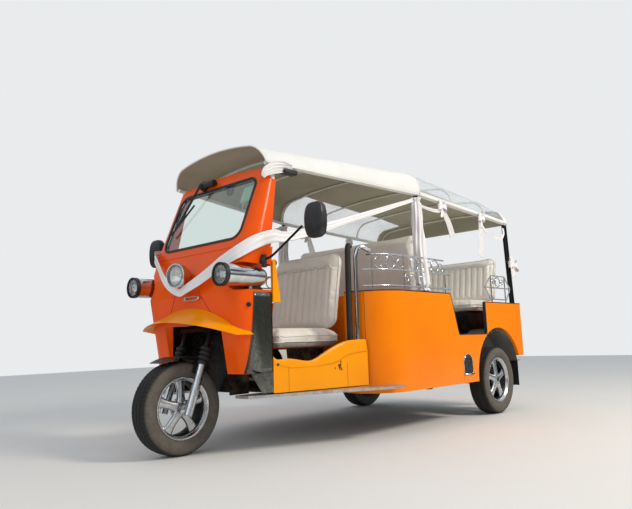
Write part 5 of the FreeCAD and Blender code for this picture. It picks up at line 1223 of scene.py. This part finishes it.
# Each bow's knot on the left side, the way its loops spread and its size.
BOWS = (("mid_bow", (-0.486, 0.706, 1.598), (1, 0, 0), 0.055),
        ("rear_bow", (-1.105, 0.708, 1.588), (1, 0, 0), 0.05),
        ("rail_bow", (-1.585, 0.738, 1.225), (1, 0, 0.2), 0.075))
for side, word in SIDES:
    flip_y = np.array([1, side, 1])
    post_wrap = sleeve(f"post_wrap_{word}", POST_FOOT * flip_y, POST_TOP * flip_y,
                       ((0, 0.3, 0.7, 1), (0.046, 0.044, 0.036, 0.034)), 0.006, 9, gathered_net)
    for part, knot, spread, size in BOWS:
        bow(f"{part}_{word}", np.array(knot) * flip_y, spread, size, (0, side, 0))

# A bunch of net along the roof's front corner, from the windscreen frame up to the side rail.
BUNCH = [(1128, 458, 1592, 26), (1104, 463, 1628, 58), (1040, 470, 1660, 76), (965, 478, 1674, 70),
         (905, 486, 1682, 24)]
front_bunch = ribbon_piece("front_net_bunch", BUNCH, looks_out(1), 70, 0.08, "gathered",
                           ["roof_frame"], finish=gathered_net, ripple=0.012, folds=4.0, columns=25)
print("bows:", 2 * len(BOWS), "; faces in the front bunch:", len(front_bunch.data.polygons))

# %% [markdown]
# ## Lamps
# The headlamp is a deep chrome bowl, and the side lamps are chrome torpedoes with a black ring. Behind each
# glass lies a parabolic reflector, where the radius grows with the root of the depth, and a small bulb. The
# glass is moulded with upright flutes, which are small scallops in its face.

# %% Lamps
reflector = bright_metal("silvered_reflector", "#F2F3F4", "#DDDEDF", 0.05, 0.12, 0.03)
mirror_silver = bright_metal("mirror_glass", "#E8ECEE", "#E0E4E6", 0.01, 0.03)
# Each lamp's front middle, the radius of its rim and the length of its shell.
LAMPS = (("headlamp", 1.435, 0.0, 1.028, 0.073, 0.1066), ("side_lamp_left", 1.442, 0.442, 0.995, 0.066, 0.33),
         ("side_lamp_right", 1.442, -0.442, 0.995, 0.066, 0.33))
# How far the lens lies inside the rim, how far back the reflector's floor lies and how far the lens's edge.
HEAD_INSIDE, SIDE_INSIDE = (0.0085, -0.058, -0.0035), (0.0125, -0.078, -0.0065)


def turned_x(profile, centre, steps=72):
    """A profile of (place along X, radius) turned round the level line through centre."""
    profile = np.asarray(profile, dtype=float)
    turn = np.linspace(0, 2 * math.pi, steps, endpoint=False)[:, None]
    return np.stack([centre[0] + profile[:, 0] + 0 * turn, centre[1] + profile[:, 1] * np.cos(turn),
                     centre[2] + profile[:, 1] * np.sin(turn)], axis=-1)


HEADLAMP_AIM, AIM_PIVOT_X = math.radians(11), 1.352


def aimed(points, is_head):
    """The headlamp is aimed a little to the left: its points turned about an upright line in its foot."""
    if not is_head:
        return points
    c, s = math.cos(HEADLAMP_AIM), math.sin(HEADLAMP_AIM)
    x, y = points[..., 0] - AIM_PIVOT_X, points[..., 1]
    return np.stack([AIM_PIVOT_X + x * c - y * s, x * s + y * c, points[..., 2]], axis=-1)


def bowl_outline(radius, length, is_head):
    """The shell from its back to its rim and down the reflector, as (place along X, radius)."""
    inset, floor, _ = HEAD_INSIDE if is_head else SIDE_INSIDE
    lens = radius - inset
    if is_head:
        back = [(-length, 0.001), (-length, radius * 0.42), (-length * 0.93, radius * 0.56),
                (-length * 0.75, radius * 0.78), (-length * 0.5, radius * 0.925), (-0.02, radius - 0.0022),
                (-0.008, radius), (0.0, radius - 0.001), (0.002, radius - 0.004), (0.0, radius - 0.0075)]
    else:
        back = [(-length, 0.001), (-length + 0.001, radius * 0.2), (-length + 0.006, radius * 0.45),
                (-length + 0.02, radius * 0.72), (-length + 0.045, radius * 0.86), (-0.2, radius * 0.93),
                (-0.027, radius - 0.0042), (-0.0262, radius - 0.012)]
    bowl = [(floor + (-0.026 - floor) * r ** 2, lens * r) for r in np.linspace(1, 0.14, 12)]
    return [(-length, 0.0)] + back + bowl + [(floor - 0.002, 0.001), (floor - 0.002, 0.0)]


for name, x, y, z, radius, length in LAMPS:
    is_head = name == "headlamp"
    outline = bowl_outline(radius, length, is_head)
    chrome_part = surface(f"{name}_shell", aimed(turned_x(outline, (x, y, z)), is_head), chrome,
                          closed_rows=True, slot="chrome_plate")
    crisp_edges(chrome_part, 35)
    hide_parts("lamp_shells")
    inset, floor, low = HEAD_INSIDE if is_head else SIDE_INSIDE
    lens = radius - inset
    bulb_turn = np.linspace(0, math.pi / 2, 8)
    bulb = [(floor + 0.024 + 0.008 * math.sin(a), 0.008 * math.cos(a) + 1e-4) for a in bulb_turn]
    bulb = [(floor + 0.004, 0.0), (floor + 0.004, 0.008)] + bulb + [(floor + 0.032, 0.0)]
    surface(f"{name}_bulb", aimed(turned_x(bulb, (x, y, z), 20), is_head), reflector, closed_rows=True,
            slot="chrome_plate")
    ring = np.linspace(0.0, 1.0, 18)
    turn = np.linspace(0, 2 * math.pi, 180, endpoint=False)
    depth = low + 0.006 * (1 - ring[None, :] ** 2) + 0 * turn[:, None]
    wide = lens * ring[None, :] * np.cos(turn)[:, None]
    flute = 0.0009 * np.abs(np.sin(wide * math.pi / 0.0095)) * (ring[None, :] < 0.95)
    glass = np.stack([x + depth - flute, y + wide, z + lens * ring[None, :] * np.sin(turn)[:, None]], axis=-1)
    pane = surface(f"{name}_glass", aimed(glass, is_head), lamp_glass, closed_rows=True, slot="window_glass")
    one_middle(pane)
    thickened(pane, 0.0028, 0)
    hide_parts("lamp_lenses")
    print(name, "lens radius", round(lens, 4), "reflector", round(-floor, 3), "m deep")

for side, word in SIDES:
    tube(f"side_lamp_foot_{word}", [(1.222, side * 0.442, 0.937), (1.222, side * 0.442, 0.9175)], 0.012, chrome,
         sides=16, slot="chrome_plate")

# A small chrome pull on the nose: a flat rounded loop on two studs.
loop_turn = np.linspace(0, 2 * math.pi, 48, endpoint=False)
loop = np.stack([np.full(48, 1.343), 0.052 + 0.075 * power(np.cos(loop_turn), 0.6),
                 0.893 + 0.011 * power(np.sin(loop_turn), 0.8)], axis=-1)
tube("nose_pull", loop, 0.0036, chrome, closed=True, slot="chrome_plate")
for y in (-0.012, 0.116):
    tube(f"nose_stud_{'left' if y > 0 else 'right'}", [(1.330, y, 0.893), (1.347, y, 0.893)], 0.007, chrome,
         slot="chrome_plate")

# %% [markdown]
# ## Mirrors
# A mirror's head is moulded plastic, round in front and flat behind, where the silvered glass is set. It starts
# as a superellipsoid, a box with soft corners whose points are cosines and sines raised to a small power, and
# what lies behind one upright plane is drawn back towards it. The glass has the same outline, a little
# smaller. The arm is held to the pillar by a small black clamp.

# %% Mirrors
FLAT_FROM, GLASS_AT, GLASS_HALF = -0.019, 0.0262, (0.056, 0.088)
for side, word in SIDES:
    middle = np.array([1.034, side * 0.79, 1.2905])
    head = soft_box((0.064, 0.138, 0.205), edge=0.34, rows=49, columns=72)
    head[..., 0] = np.where(head[..., 0] < FLAT_FROM, FLAT_FROM + (head[..., 0] - FLAT_FROM) * 0.35,
                            head[..., 0])
    head = head + middle
    shell = surface(f"mirror_shell_{word}", head, black_plastic, closed_columns=True, flip=True,
                    slot="black_plastic")
    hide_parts("mirror_heads")
    ring = np.linspace(0.0, 1.0, 6)[None, :]
    turn = np.linspace(0, 2 * math.pi, 64, endpoint=False)[:, None]
    face = np.stack([middle[0] - GLASS_AT + 0 * ring * turn,
                     middle[1] + GLASS_HALF[0] * ring * power(np.cos(turn), 0.34),
                     middle[2] + GLASS_HALF[1] * ring * power(np.sin(turn), 0.34)], axis=-1)
    silver = surface(f"mirror_silver_{word}", face, mirror_silver, closed_rows=True, slot="window_glass")
    one_middle(silver)
    # The arm's clamp on the pillar: a stem and a round plate.
    tube(f"mirror_clamp_{word}", [(1.160, side * 0.497, 1.045), (1.160, side * 0.497, 1.118)], 0.0145,
         black_plastic, sides=18, slot="black_plastic")
    tube(f"mirror_clamp_plate_{word}", [(1.160, side * 0.474, 1.085), (1.160, side * 0.4985, 1.085)], 0.019,
         black_plastic, sides=24, slot="black_plastic")
    print(word, "mirror glass", round(2 * GLASS_HALF[0], 3), "x", round(2 * GLASS_HALF[1], 3), "m")

# %% [markdown]
# ## Small fittings
# A polished kick plate guards the cowl's rear end, a round knob locks its side, and dark seams show where the
# bonnet opens and where the tub's corner is joined. Trim is laid on the body by casting rays at the CAD
# skins, so each strip follows its panel exactly. A strip is a grid of such hits, lifted a millimetre or two
# and thickened.

# %% Laying trim on the body
def skin(*names):
    """The joined surfaces of some CAD nodes, ready for rays."""
    points, corners = [], []
    for name in names:
        cad = nodes[name]
        start = len(points)
        points.extend(cad.matrix_world @ v.co for v in cad.data.vertices)
        corners.extend([start + i for i in face.vertices] for face in cad.data.polygons)
    return BVHTree.FromPolygons(points, corners)


def cast(tree, start, way, lift):
    """Where a ray meets a skin, lifted back along the ray; the start itself if it misses."""
    place, _, _, _ = tree.ray_cast(Vector(start), Vector(way))
    return np.array(place if place is not None else start) - np.array(way) * lift


def laid_strip(name, tree, places, way, lift, thickness, finish, slot, flip=False):
    """A thin plate over a skin: places is a (rows, columns, 3) grid of ray starts."""
    grid = np.array([[cast(tree, spot, way, lift) for spot in row] for row in places])
    plate = surface(name, grid, [finish] * 2, flip=flip, slot=slot)
    return thickened(plate, thickness, 0)


cowl_skin = skin("cowl", "kick_strips")
tub_skin = skin("tub_sides")
screen_skin = skin("windscreen_glass")
# Rust is what chipped paint bares: brown, rough and crumbly. The sticker is smooth printed vinyl, left blank.
rust = moulded("rusty_steel", "#4A2412", "#7A431F", 0.85, 0.003, 0.0006)
blank_sticker = moulded("blank_pale_green_sticker", "#BFE3CB", "#B2D9C2", 0.5, 0.02, 0.0)
KICK_LOW, KICK_HIGH, KICK_BACK, KICK_FRONT_LOW, KICK_FRONT_HIGH = 0.452, 1.03, 1.087, 1.249, 1.215
# The middle of the tub's rounded front corner, and where its seam lies round it.
TUB_CORNER, SEAM_R, SEAM_ANGLE = (0.135, 0.495), 0.5, 0.372

for side, word in SIDES:
    # Polished kick plate on the cowl's rear end, scratched and dulled.
    share = np.linspace(0, 1, 24)[:, None]
    height = KICK_LOW + (KICK_HIGH - KICK_LOW) * share
    front_edge = KICK_FRONT_LOW + (KICK_FRONT_HIGH - KICK_FRONT_LOW) * share
    column = np.linspace(0, 1, 10)[None, :]
    x = KICK_BACK + (front_edge - KICK_BACK) * column
    starts = np.stack([x, np.full_like(x, side * 0.9), height + 0 * column], axis=-1)
    laid_strip(f"kick_plate_{word}", cowl_skin, starts, (0, -side, 0), 0.0026, 0.0012, polished_steel,
               "polished_steel", flip=side > 0)
    # A round knob that locks the cowl's side, with a turned rim.
    knob = cast(cowl_skin, (1.256, side * 0.9, 0.834), (0, -side, 0), 0.0)
    tube(f"cowl_knob_{word}", [knob, knob + [0, side * 0.007, 0]], 0.0135, black_plastic, sides=24,
         slot="black_plastic")
    tube(f"cowl_knob_top_{word}", [knob + [0, side * 0.006, 0], knob + [0, side * 0.017, 0]], 0.008,
         black_plastic, sides=20, slot="black_plastic")
    # A dark seam where the bonnet opens, from the peak up to the ribbon.
    seam = [cast(cowl_skin, (1.6, side * y, z), (-1, 0, 0), -0.0004)
            for y, z in zip(np.linspace(0.205, 0.105, 30), np.linspace(0.80, 0.945, 30))]
    tube(f"bonnet_seam_{word}", seam, 0.0018, black_rubber, sides=6, slot="black_rubber")
    # The joint in the tub's corner panel, found by rays towards the corner's centre.
    c, s = math.cos(SEAM_ANGLE), math.sin(SEAM_ANGLE)
    seam = [cast(tub_skin, (TUB_CORNER[0] + SEAM_R * c, side * (TUB_CORNER[1] + SEAM_R * s), z),
                 (-c, -side * s, 0), -0.0002) for z in np.linspace(0.282, 0.93, 40)]
    tube(f"tub_seam_{word}", seam, 0.0014, black_rubber, sides=6, slot="black_rubber")
    print(word, "kick plate", round(KICK_HIGH - KICK_LOW, 3), "m tall; knob at", knob.round(3))

# %% [markdown]
# The tub's cut edge is covered by a rubber profile, which runs round the front corner, along the top, down
# and up the door opening and on to the rear. It is a flat oval carried along a path, with its wide side kept
# across the sheet. Low on the side sits a vent, an arch of six dark slats in a bright pressed frame, and pop
# rivets hold the quarter panel and the arch. A rivet is a tiny dome, so all of a side's rivets are one mesh.

# %% Rubber edging, vent and rivets on the tub
EDGING_WIDE, EDGING_TALL = 0.0135, 0.005


def edging(name, path, wide_way, sides=12):
    """A flat-oval rubber bead along a path: wide_way gives its wide direction at each point."""
    path, wide_way = np.asarray(path, dtype=float), np.asarray(wide_way, dtype=float)
    heading = np.gradient(path, axis=0)
    wide_way = wide_way - heading * ((wide_way * heading).sum(1) / (heading ** 2).sum(1))[:, None]
    wide_way /= np.linalg.norm(wide_way, axis=1, keepdims=True)
    tall = np.cross(heading / np.linalg.norm(heading, axis=1, keepdims=True), wide_way)
    turn = np.linspace(0, 2 * math.pi, sides, endpoint=False)[None, :, None]
    rings = (path[:, None] + EDGING_WIDE * power(np.cos(turn), 0.7) * wide_way[:, None]
             + EDGING_TALL * power(np.sin(turn), 0.7) * tall[:, None])
    rings = np.concatenate([np.repeat(path[:1, None], sides, axis=1), rings,
                            np.repeat(path[-1:, None], sides, axis=1)])
    return surface(name, rings, black_rubber, closed_columns=True, flip=True, slot="black_rubber")


def rounded_corners(corners, radius=0.012, steps=5):
    """A path through corners, each cut by a short curve."""
    corners = np.asarray(corners, dtype=float)
    path = [corners[0]]
    for before, corner, after in zip(corners, corners[1:], corners[2:]):
        a = corner + (before - corner) * min(radius / np.linalg.norm(before - corner), 0.45)
        b = corner + (after - corner) * min(radius / np.linalg.norm(after - corner), 0.45)
        for t in np.linspace(0, 1, steps):
            path.append(a * (1 - t) ** 2 + corner * 2 * t * (1 - t) + b * t ** 2)
    path.append(corners[-1])
    return np.array(path)


TUB_TOP, TUB_SIDE, CORNER_R, OPENING_LOW, QUARTER_TOP = 0.935, 0.734, 0.239, 0.633, 0.887
arc = np.linspace(0, math.pi / 2, 14)
front_run = [(TUB_CORNER[0] + CORNER_R, y, TUB_TOP) for y in np.linspace(0.434, 0.48, 4)]
front_run += [(TUB_CORNER[0] + CORNER_R * math.cos(a), TUB_CORNER[1] + CORNER_R * math.sin(a), TUB_TOP)
              for a in arc]
front_ways = [(1, 0, 0)] * 4 + [(math.cos(a), math.sin(a), 0) for a in arc]
side_run = rounded_corners([(0.10, TUB_SIDE, TUB_TOP), (-0.465, TUB_SIDE, TUB_TOP),
                            (-0.5575, TUB_SIDE, OPENING_LOW), (-1.0, TUB_SIDE, OPENING_LOW),
                            (-1.0, TUB_SIDE, QUARTER_TOP), (-1.643, TUB_SIDE, QUARTER_TOP)])
rim_path = np.concatenate([front_run, side_run])
rim_ways = np.concatenate([front_ways, np.tile([0.0, 1.0, 0.0], (len(side_run), 1))])
VENT_X, VENT_Y, VENT_LOW, VENT_HIGH, VENT_HALF = -0.662, 0.7462, 0.345, 0.487, 0.066
VENT_SLATS, SLAT_SPACING = 6, 0.02
vent_arc = np.linspace(0, math.pi, 13)
vent_ring = [(VENT_X + VENT_HALF * math.cos(a), VENT_HIGH - VENT_HALF + VENT_HALF * math.sin(a))
             for a in vent_arc]
vent_ring = [(VENT_X + VENT_HALF, VENT_LOW)] + vent_ring + [(VENT_X - VENT_HALF, VENT_LOW)]
for side, word in SIDES:
    mirror = np.array([1.0, side, 1.0])
    edging(f"tub_edging_{word}", rim_path * mirror, rim_ways * mirror)
    # The vent: dark slats under a pressed, bright frame, over a black plate that is painted shade for the dark
    # inside behind them.
    outline = np.array([(x, side * VENT_Y, z) for x, z in vent_ring])
    middle = np.array([VENT_X, side * VENT_Y, VENT_LOW + 0.06])
    plate = middle + (outline - middle) * np.array([0.02, 1.0])[:, None, None]
    backing = surface(f"vent_shade_plate_{word}", plate, [black_plastic] * 2, closed_columns=True, flip=side > 0,
                      slot="black_plastic")
    thickened(backing, 0.0008, 0)
    tube(f"vent_lip_{word}", [(VENT_X - VENT_HALF - 0.006, side * 0.7495, VENT_LOW - 0.004),
                              (VENT_X + VENT_HALF + 0.006, side * 0.7495, VENT_LOW - 0.004)], 0.0075, chrome,
         slot="chrome_plate")
    tube(f"vent_frame_{word}", rounded_corners(outline, 0.01), 0.0036, chrome, slot="chrome_plate",
         closed=True)
    for row in range(VENT_SLATS):
        z = VENT_LOW + 0.014 + SLAT_SPACING * row
        reach = VENT_HALF - 0.006 if z < VENT_HIGH - VENT_HALF else math.sqrt(
            max(VENT_HALF ** 2 - (z - VENT_HIGH + VENT_HALF) ** 2, 0)) - 0.006
        tube(f"vent_slat_{word}_{row}", [(VENT_X - reach, side * 0.748, z), (VENT_X + reach, side * 0.748, z)],
             0.0034, black_plastic, sides=8, slot="black_plastic")


def dome_heads(name, places, outward, radius, finish, slot):
    """Small round heads, such as rivets, as one mesh: flattened domes that look along outward."""
    outward = np.array(outward, dtype=float)
    guide = np.array([0.0, 0.0, 1.0]) if abs(outward[2]) < 0.9 else np.array([1.0, 0.0, 0.0])
    a = np.cross(outward, guide)
    a /= np.linalg.norm(a)
    b = np.cross(a, outward)
    turn = np.linspace(0, 2 * math.pi, 10, endpoint=False)[None, :, None]
    rise = np.linspace(0, math.pi / 2, 4)[:, None, None]
    head = radius * (np.cos(rise) * (np.cos(turn) * a + np.sin(turn) * b) + 0.6 * np.sin(rise) * outward)
    head = np.concatenate([np.zeros((1, 10, 3)), head])
    parts = [(head + np.array(place), False, True, False) for place in places]
    return together(name, parts, finish, slot=slot)


RIVET_Y, RIVET_R, ARCH_AT, ARCH_R = 0.7452, 0.0036, (-1.165, 0.265), 0.392
for side, word in SIDES:
    quarter = [(-1.014, side * RIVET_Y, z) for z in np.arange(0.655, 0.87, 0.028)]
    arch = [(ARCH_AT[0] + ARCH_R * math.cos(a), side * RIVET_Y, ARCH_AT[1] + ARCH_R * math.sin(a))
            for a in np.linspace(0.62, 2.5, 17)]
    dome_heads(f"tub_rivets_{word}", quarter + arch, (0, side, 0), RIVET_R, mill_aluminium, "bright_plate")
print("edging points:", len(rim_path), "; rivets on a side:", len(quarter + arch))

# %% [markdown]
# The sill's sheet is folded inwards along a waving top edge, and years of boots have chipped it to rust, torn
# a slot near its front and cracked its seams. The band is a grid along the edge's curve: up the face, round
# the fold and a little down behind. A chip is a ragged ring, a circle whose radius swings with two sines, and
# it lies a hair above the paint.

# %% Sills: folded band, chips, slot and seams
# Place along X, the CAD sill's top and the band's top.
SILL_TOP = [(1.083, 0.505, 0.543), (1.050, 0.500, 0.521), (0.964, 0.480, 0.522), (0.840, 0.480, 0.504),
            (0.780, 0.480, 0.516), (0.730, 0.484, 0.540), (0.640, 0.496, 0.583), (0.550, 0.534, 0.612),
            (0.460, 0.550, 0.620), (0.389, 0.555, 0.620)]
SILL_FRONT, SILL_BACK = (1.0835, 0.4745), (0.3865, 0.610)
# Place along X, height and size of the chips.
SILL_CHIPS = ((0.613, 0.462, 0.017), (0.604, 0.487, 0.008), (0.648, 0.452, 0.006), (0.60, 0.445, 0.009))


def sill_side(x):
    """The sill's outer face: how far from the middle it lies at x, on a line from its front to its back."""
    share = (SILL_FRONT[0] - x) / (SILL_FRONT[0] - SILL_BACK[0])
    return SILL_FRONT[1] + (SILL_BACK[1] - SILL_FRONT[1]) * share + 0.0006


sill_run = smooth_path(SILL_TOP, 90)
band_rise = np.linspace(0, 1, 7)
for side, word in SIDES:
    rows = []
    for x, low, high in sill_run:
        y = sill_side(x)
        z = low - 0.012 + (high - low + 0.012) * band_rise
        inward = 0.006 * band_rise ** 2
        row = [(x, side * (y - i), h) for h, i in zip(z, inward)]
        row += [(x, side * (y - 0.010 - 0.012 * k), high + 0.002 - 0.001 * k) for k in (0.3, 1.0)]
        row.append((x, side * (y - 0.022), high - 0.012))
        rows.append(row)
    band = thickened(surface(f"sill_band_{word}", np.array(rows), [amber_enamel] * 2, flip=side < 0,
                             slot="amber_paint"), 0.0015, 0)
    chip_turn = np.linspace(0, 2 * math.pi, 26, endpoint=False)
    for spot, (x, z, size) in enumerate(SILL_CHIPS):
        ragged = size * (1 + 0.28 * np.sin(3 * chip_turn + spot) + 0.2 * np.sin(7 * chip_turn + 2 * spot))
        ring_x = x + 0.6 * ragged * np.cos(chip_turn)
        ring = np.stack([ring_x, side * (sill_side(ring_x) + 0.0003), z + ragged * np.sin(chip_turn)], axis=-1)
        centre = ring.mean(axis=0)
        chip = centre + (ring - centre) * np.array([0.05, 1.0])[:, None, None]
        chip[..., 1] = side * (sill_side(chip[..., 0]) + 0.0005)
        surface(f"sill_chip_{word}_{spot}", chip, rust, closed_columns=True, flip=side > 0,
                slot="amber_paint")
    # The torn slot is drawn as a black patch on the face: painted shade for the dark inside of the hole.
    slot_x = np.linspace(1.047, 1.062, 3)[:, None]
    slot_z = np.linspace(0.486, 0.500, 3)[None, :]
    hole = np.stack([slot_x + 0 * slot_z, side * (sill_side(slot_x) + 0.0005) + 0 * slot_z,
                     slot_z + 0 * slot_x], axis=-1)
    surface(f"sill_slot_painted_shade_{word}", hole, black_rubber, flip=side > 0, slot="black_rubber")
    for seam_x in (0.985, 0.555):
        seam = [(seam_x + 0.002 * math.sin(9 * z + seam_x), side * (sill_side(seam_x) + 0.0002), z)
                for z in np.linspace(0.338, 0.478, 14)]
        tube(f"sill_seam_{word}_{int(seam_x * 1000)}", seam, 0.0009, rust, sides=6, slot="amber_paint")
    print(word, "sill band:", len(rows), "stations;", len(SILL_CHIPS), "chips")

# %% [markdown]
# Between the bars of the side railings stand chrome rings and scrolls, bent from thin rod and brazed on. A
# ring is a circle along the rail, and a scroll is a spiral whose radius shrinks evenly with its angle. A
# padded black post stands beside each grab pole, a pressed white bracket carries the driver's seat, and a
# small black box sits on the roof frame at the front.

# %% Chrome scrolls, seat bracket, padded posts and roof box
def ring_path(middle, radius, tilt, count=40):
    """A ring that stands along the railing: a circle, slanted across by tilt times its way along."""
    turn = np.linspace(0, 2 * math.pi, count, endpoint=False)
    return np.stack([middle[0] + radius * np.cos(turn), middle[1] - tilt * radius * np.cos(turn),
                     middle[2] + radius * np.sin(turn)], axis=-1)


def scroll_path(start, radius, turns, hand, count=50):
    """A spiral scroll that tightens from start: its radius shrinks evenly with the angle."""
    angle = np.linspace(0, 2 * math.pi * turns, count)
    reach = radius * (1 - 0.8 * angle / angle[-1])
    centre = np.array([start[0] - hand * radius, start[1], start[2]])
    return np.stack([centre[0] + hand * reach * np.cos(angle), np.full(count, centre[1]),
                     centre[2] + reach * np.sin(angle)], axis=-1)


# Place along X, distance from the middle and radius of the rings, which stand at one height.
RINGS, RING_HEIGHT = ((0.302, 0.666, 0.034), (0.13, 0.7225, 0.032), (-0.105, 0.729, 0.034),
                      (-0.215, 0.7305, 0.034), (-0.365, 0.7318, 0.030)), 1.118
# Pieces' name, place along X and hand of each scroll, their start's Y and Z, radius, turns and rod radius.
SCROLLS = (("rail_scroll", ((-0.16, 1), (-0.16, -1), (0.03, 1), (0.03, -1)),
            (0.729, 1.021), 0.036, 1.35, 0.0034),
           ("quarter_scroll", ((-1.16, 1), (-1.385, -1)), (0.732, 1.058), 0.03, 1.3, 0.0032))
PADDED_POST, PAD_R = ((0.462, 0.533, 0.408), (0.460, 0.535, 0.9), (0.452, 0.535, 1.20),
                      (0.436, 0.538, 1.232)), 0.0195
for side, word in SIDES:
    for number, (x, y, radius) in enumerate(RINGS):
        tube(f"rail_ring_{word}_{number}", ring_path((x, side * y, RING_HEIGHT), radius, side * 0.05), 0.0038,
             chrome, sides=8, closed=True, slot="chrome_plate")
    for part, places, (y, z), radius, turns, rod in SCROLLS:
        for number, (x, hand) in enumerate(places):
            scroll = scroll_path((x, side * y, z), radius, turns, hand)
            tube(f"{part}_{word}_{number}", scroll, rod, chrome, sides=8, slot="chrome_plate")
    post = smooth_path([(x, side * y, z) for x, y, z in PADDED_POST], 40)
    tube(f"padded_post_{word}", post, PAD_R, black_rubber, sides=20, slot="black_rubber")
# The bracket's front and back edge from the seat down to the floor, as (X, Z).
BRACKET, BRACKET_Y = np.array([[(0.868, 0.574), (0.80, 0.574)], [(0.845, 0.545), (0.795, 0.53)],
                               [(0.822, 0.50), (0.786, 0.49)], [(0.808, 0.408), (0.766, 0.408)]]), 0.292
for side, word in SIDES:
    plate = np.stack([BRACKET[..., 0], np.full(BRACKET.shape[:2], side * BRACKET_Y), BRACKET[..., 1]], axis=-1)
    thickened(surface(f"seat_bracket_{word}", plate, [white_powder_coat] * 2, flip=side < 0, smooth=False,
                      slot="white_metal"), 0.004, 0)
ROOF_BOX_SIZE, ROOF_BOX_AT = (0.11, 0.05, 0.034), (0.925, 0.482, 1.6495)
roof_box = placed(soft_box(ROOF_BOX_SIZE, edge=0.2, rows=17, columns=36), ROOF_BOX_AT)
surface("roof_box", roof_box, black_plastic, closed_columns=True, flip=True, slot="black_plastic")
print("rings and scrolls on a side:", len(RINGS) + sum(len(places) for _, places, *_ in SCROLLS))

# %% [markdown]
# Behind the top of the windscreen hangs a small black dome lamp on a stem, and a pale square sticker is stuck
# to the glass, left blank here. Rays from inside find the glass, so both lie on it whatever its slope. The
# dome is an ellipsoid, flattened towards the glass.

# %% Inside the windscreen: dome lamp and blank sticker
dome_at = cast(screen_skin, (0.6, 0.085, 1.590), (1, 0, 0), 0.002)
turn = np.linspace(0, 2 * math.pi, 30, endpoint=False)[None, :]
rise = np.linspace(-math.pi / 2, math.pi / 2, 13)[:, None]
dome = np.stack([dome_at[0] - 0.024 + 0.022 * np.cos(rise) * np.cos(turn),
                 dome_at[1] + 0.036 * np.cos(rise) * np.sin(turn),
                 dome_at[2] + 0.036 * np.sin(rise) * np.ones_like(turn)], axis=-1)
surface("dome_lamp", dome, black_plastic, closed_columns=True, flip=True, slot="black_plastic")
tube("dome_stem", [dome_at + [-0.02, 0, 0.02], dome_at + [-0.045, 0, 0.065]], 0.008, black_plastic,
     slot="black_plastic")
sticker_y = np.linspace(0.268, 0.356, 5)
sticker_starts = np.stack(np.broadcast_arrays(0.6, sticker_y[None, :], np.linspace(1.46, 1.565, 6)[:, None]),
                          axis=-1)
laid_strip("blank_sticker", screen_skin, sticker_starts, (1, 0, 0), 0.0006, 0.0002, blank_sticker,
           "plate_white")
print("dome lamp on the glass at", dome_at.round(3))
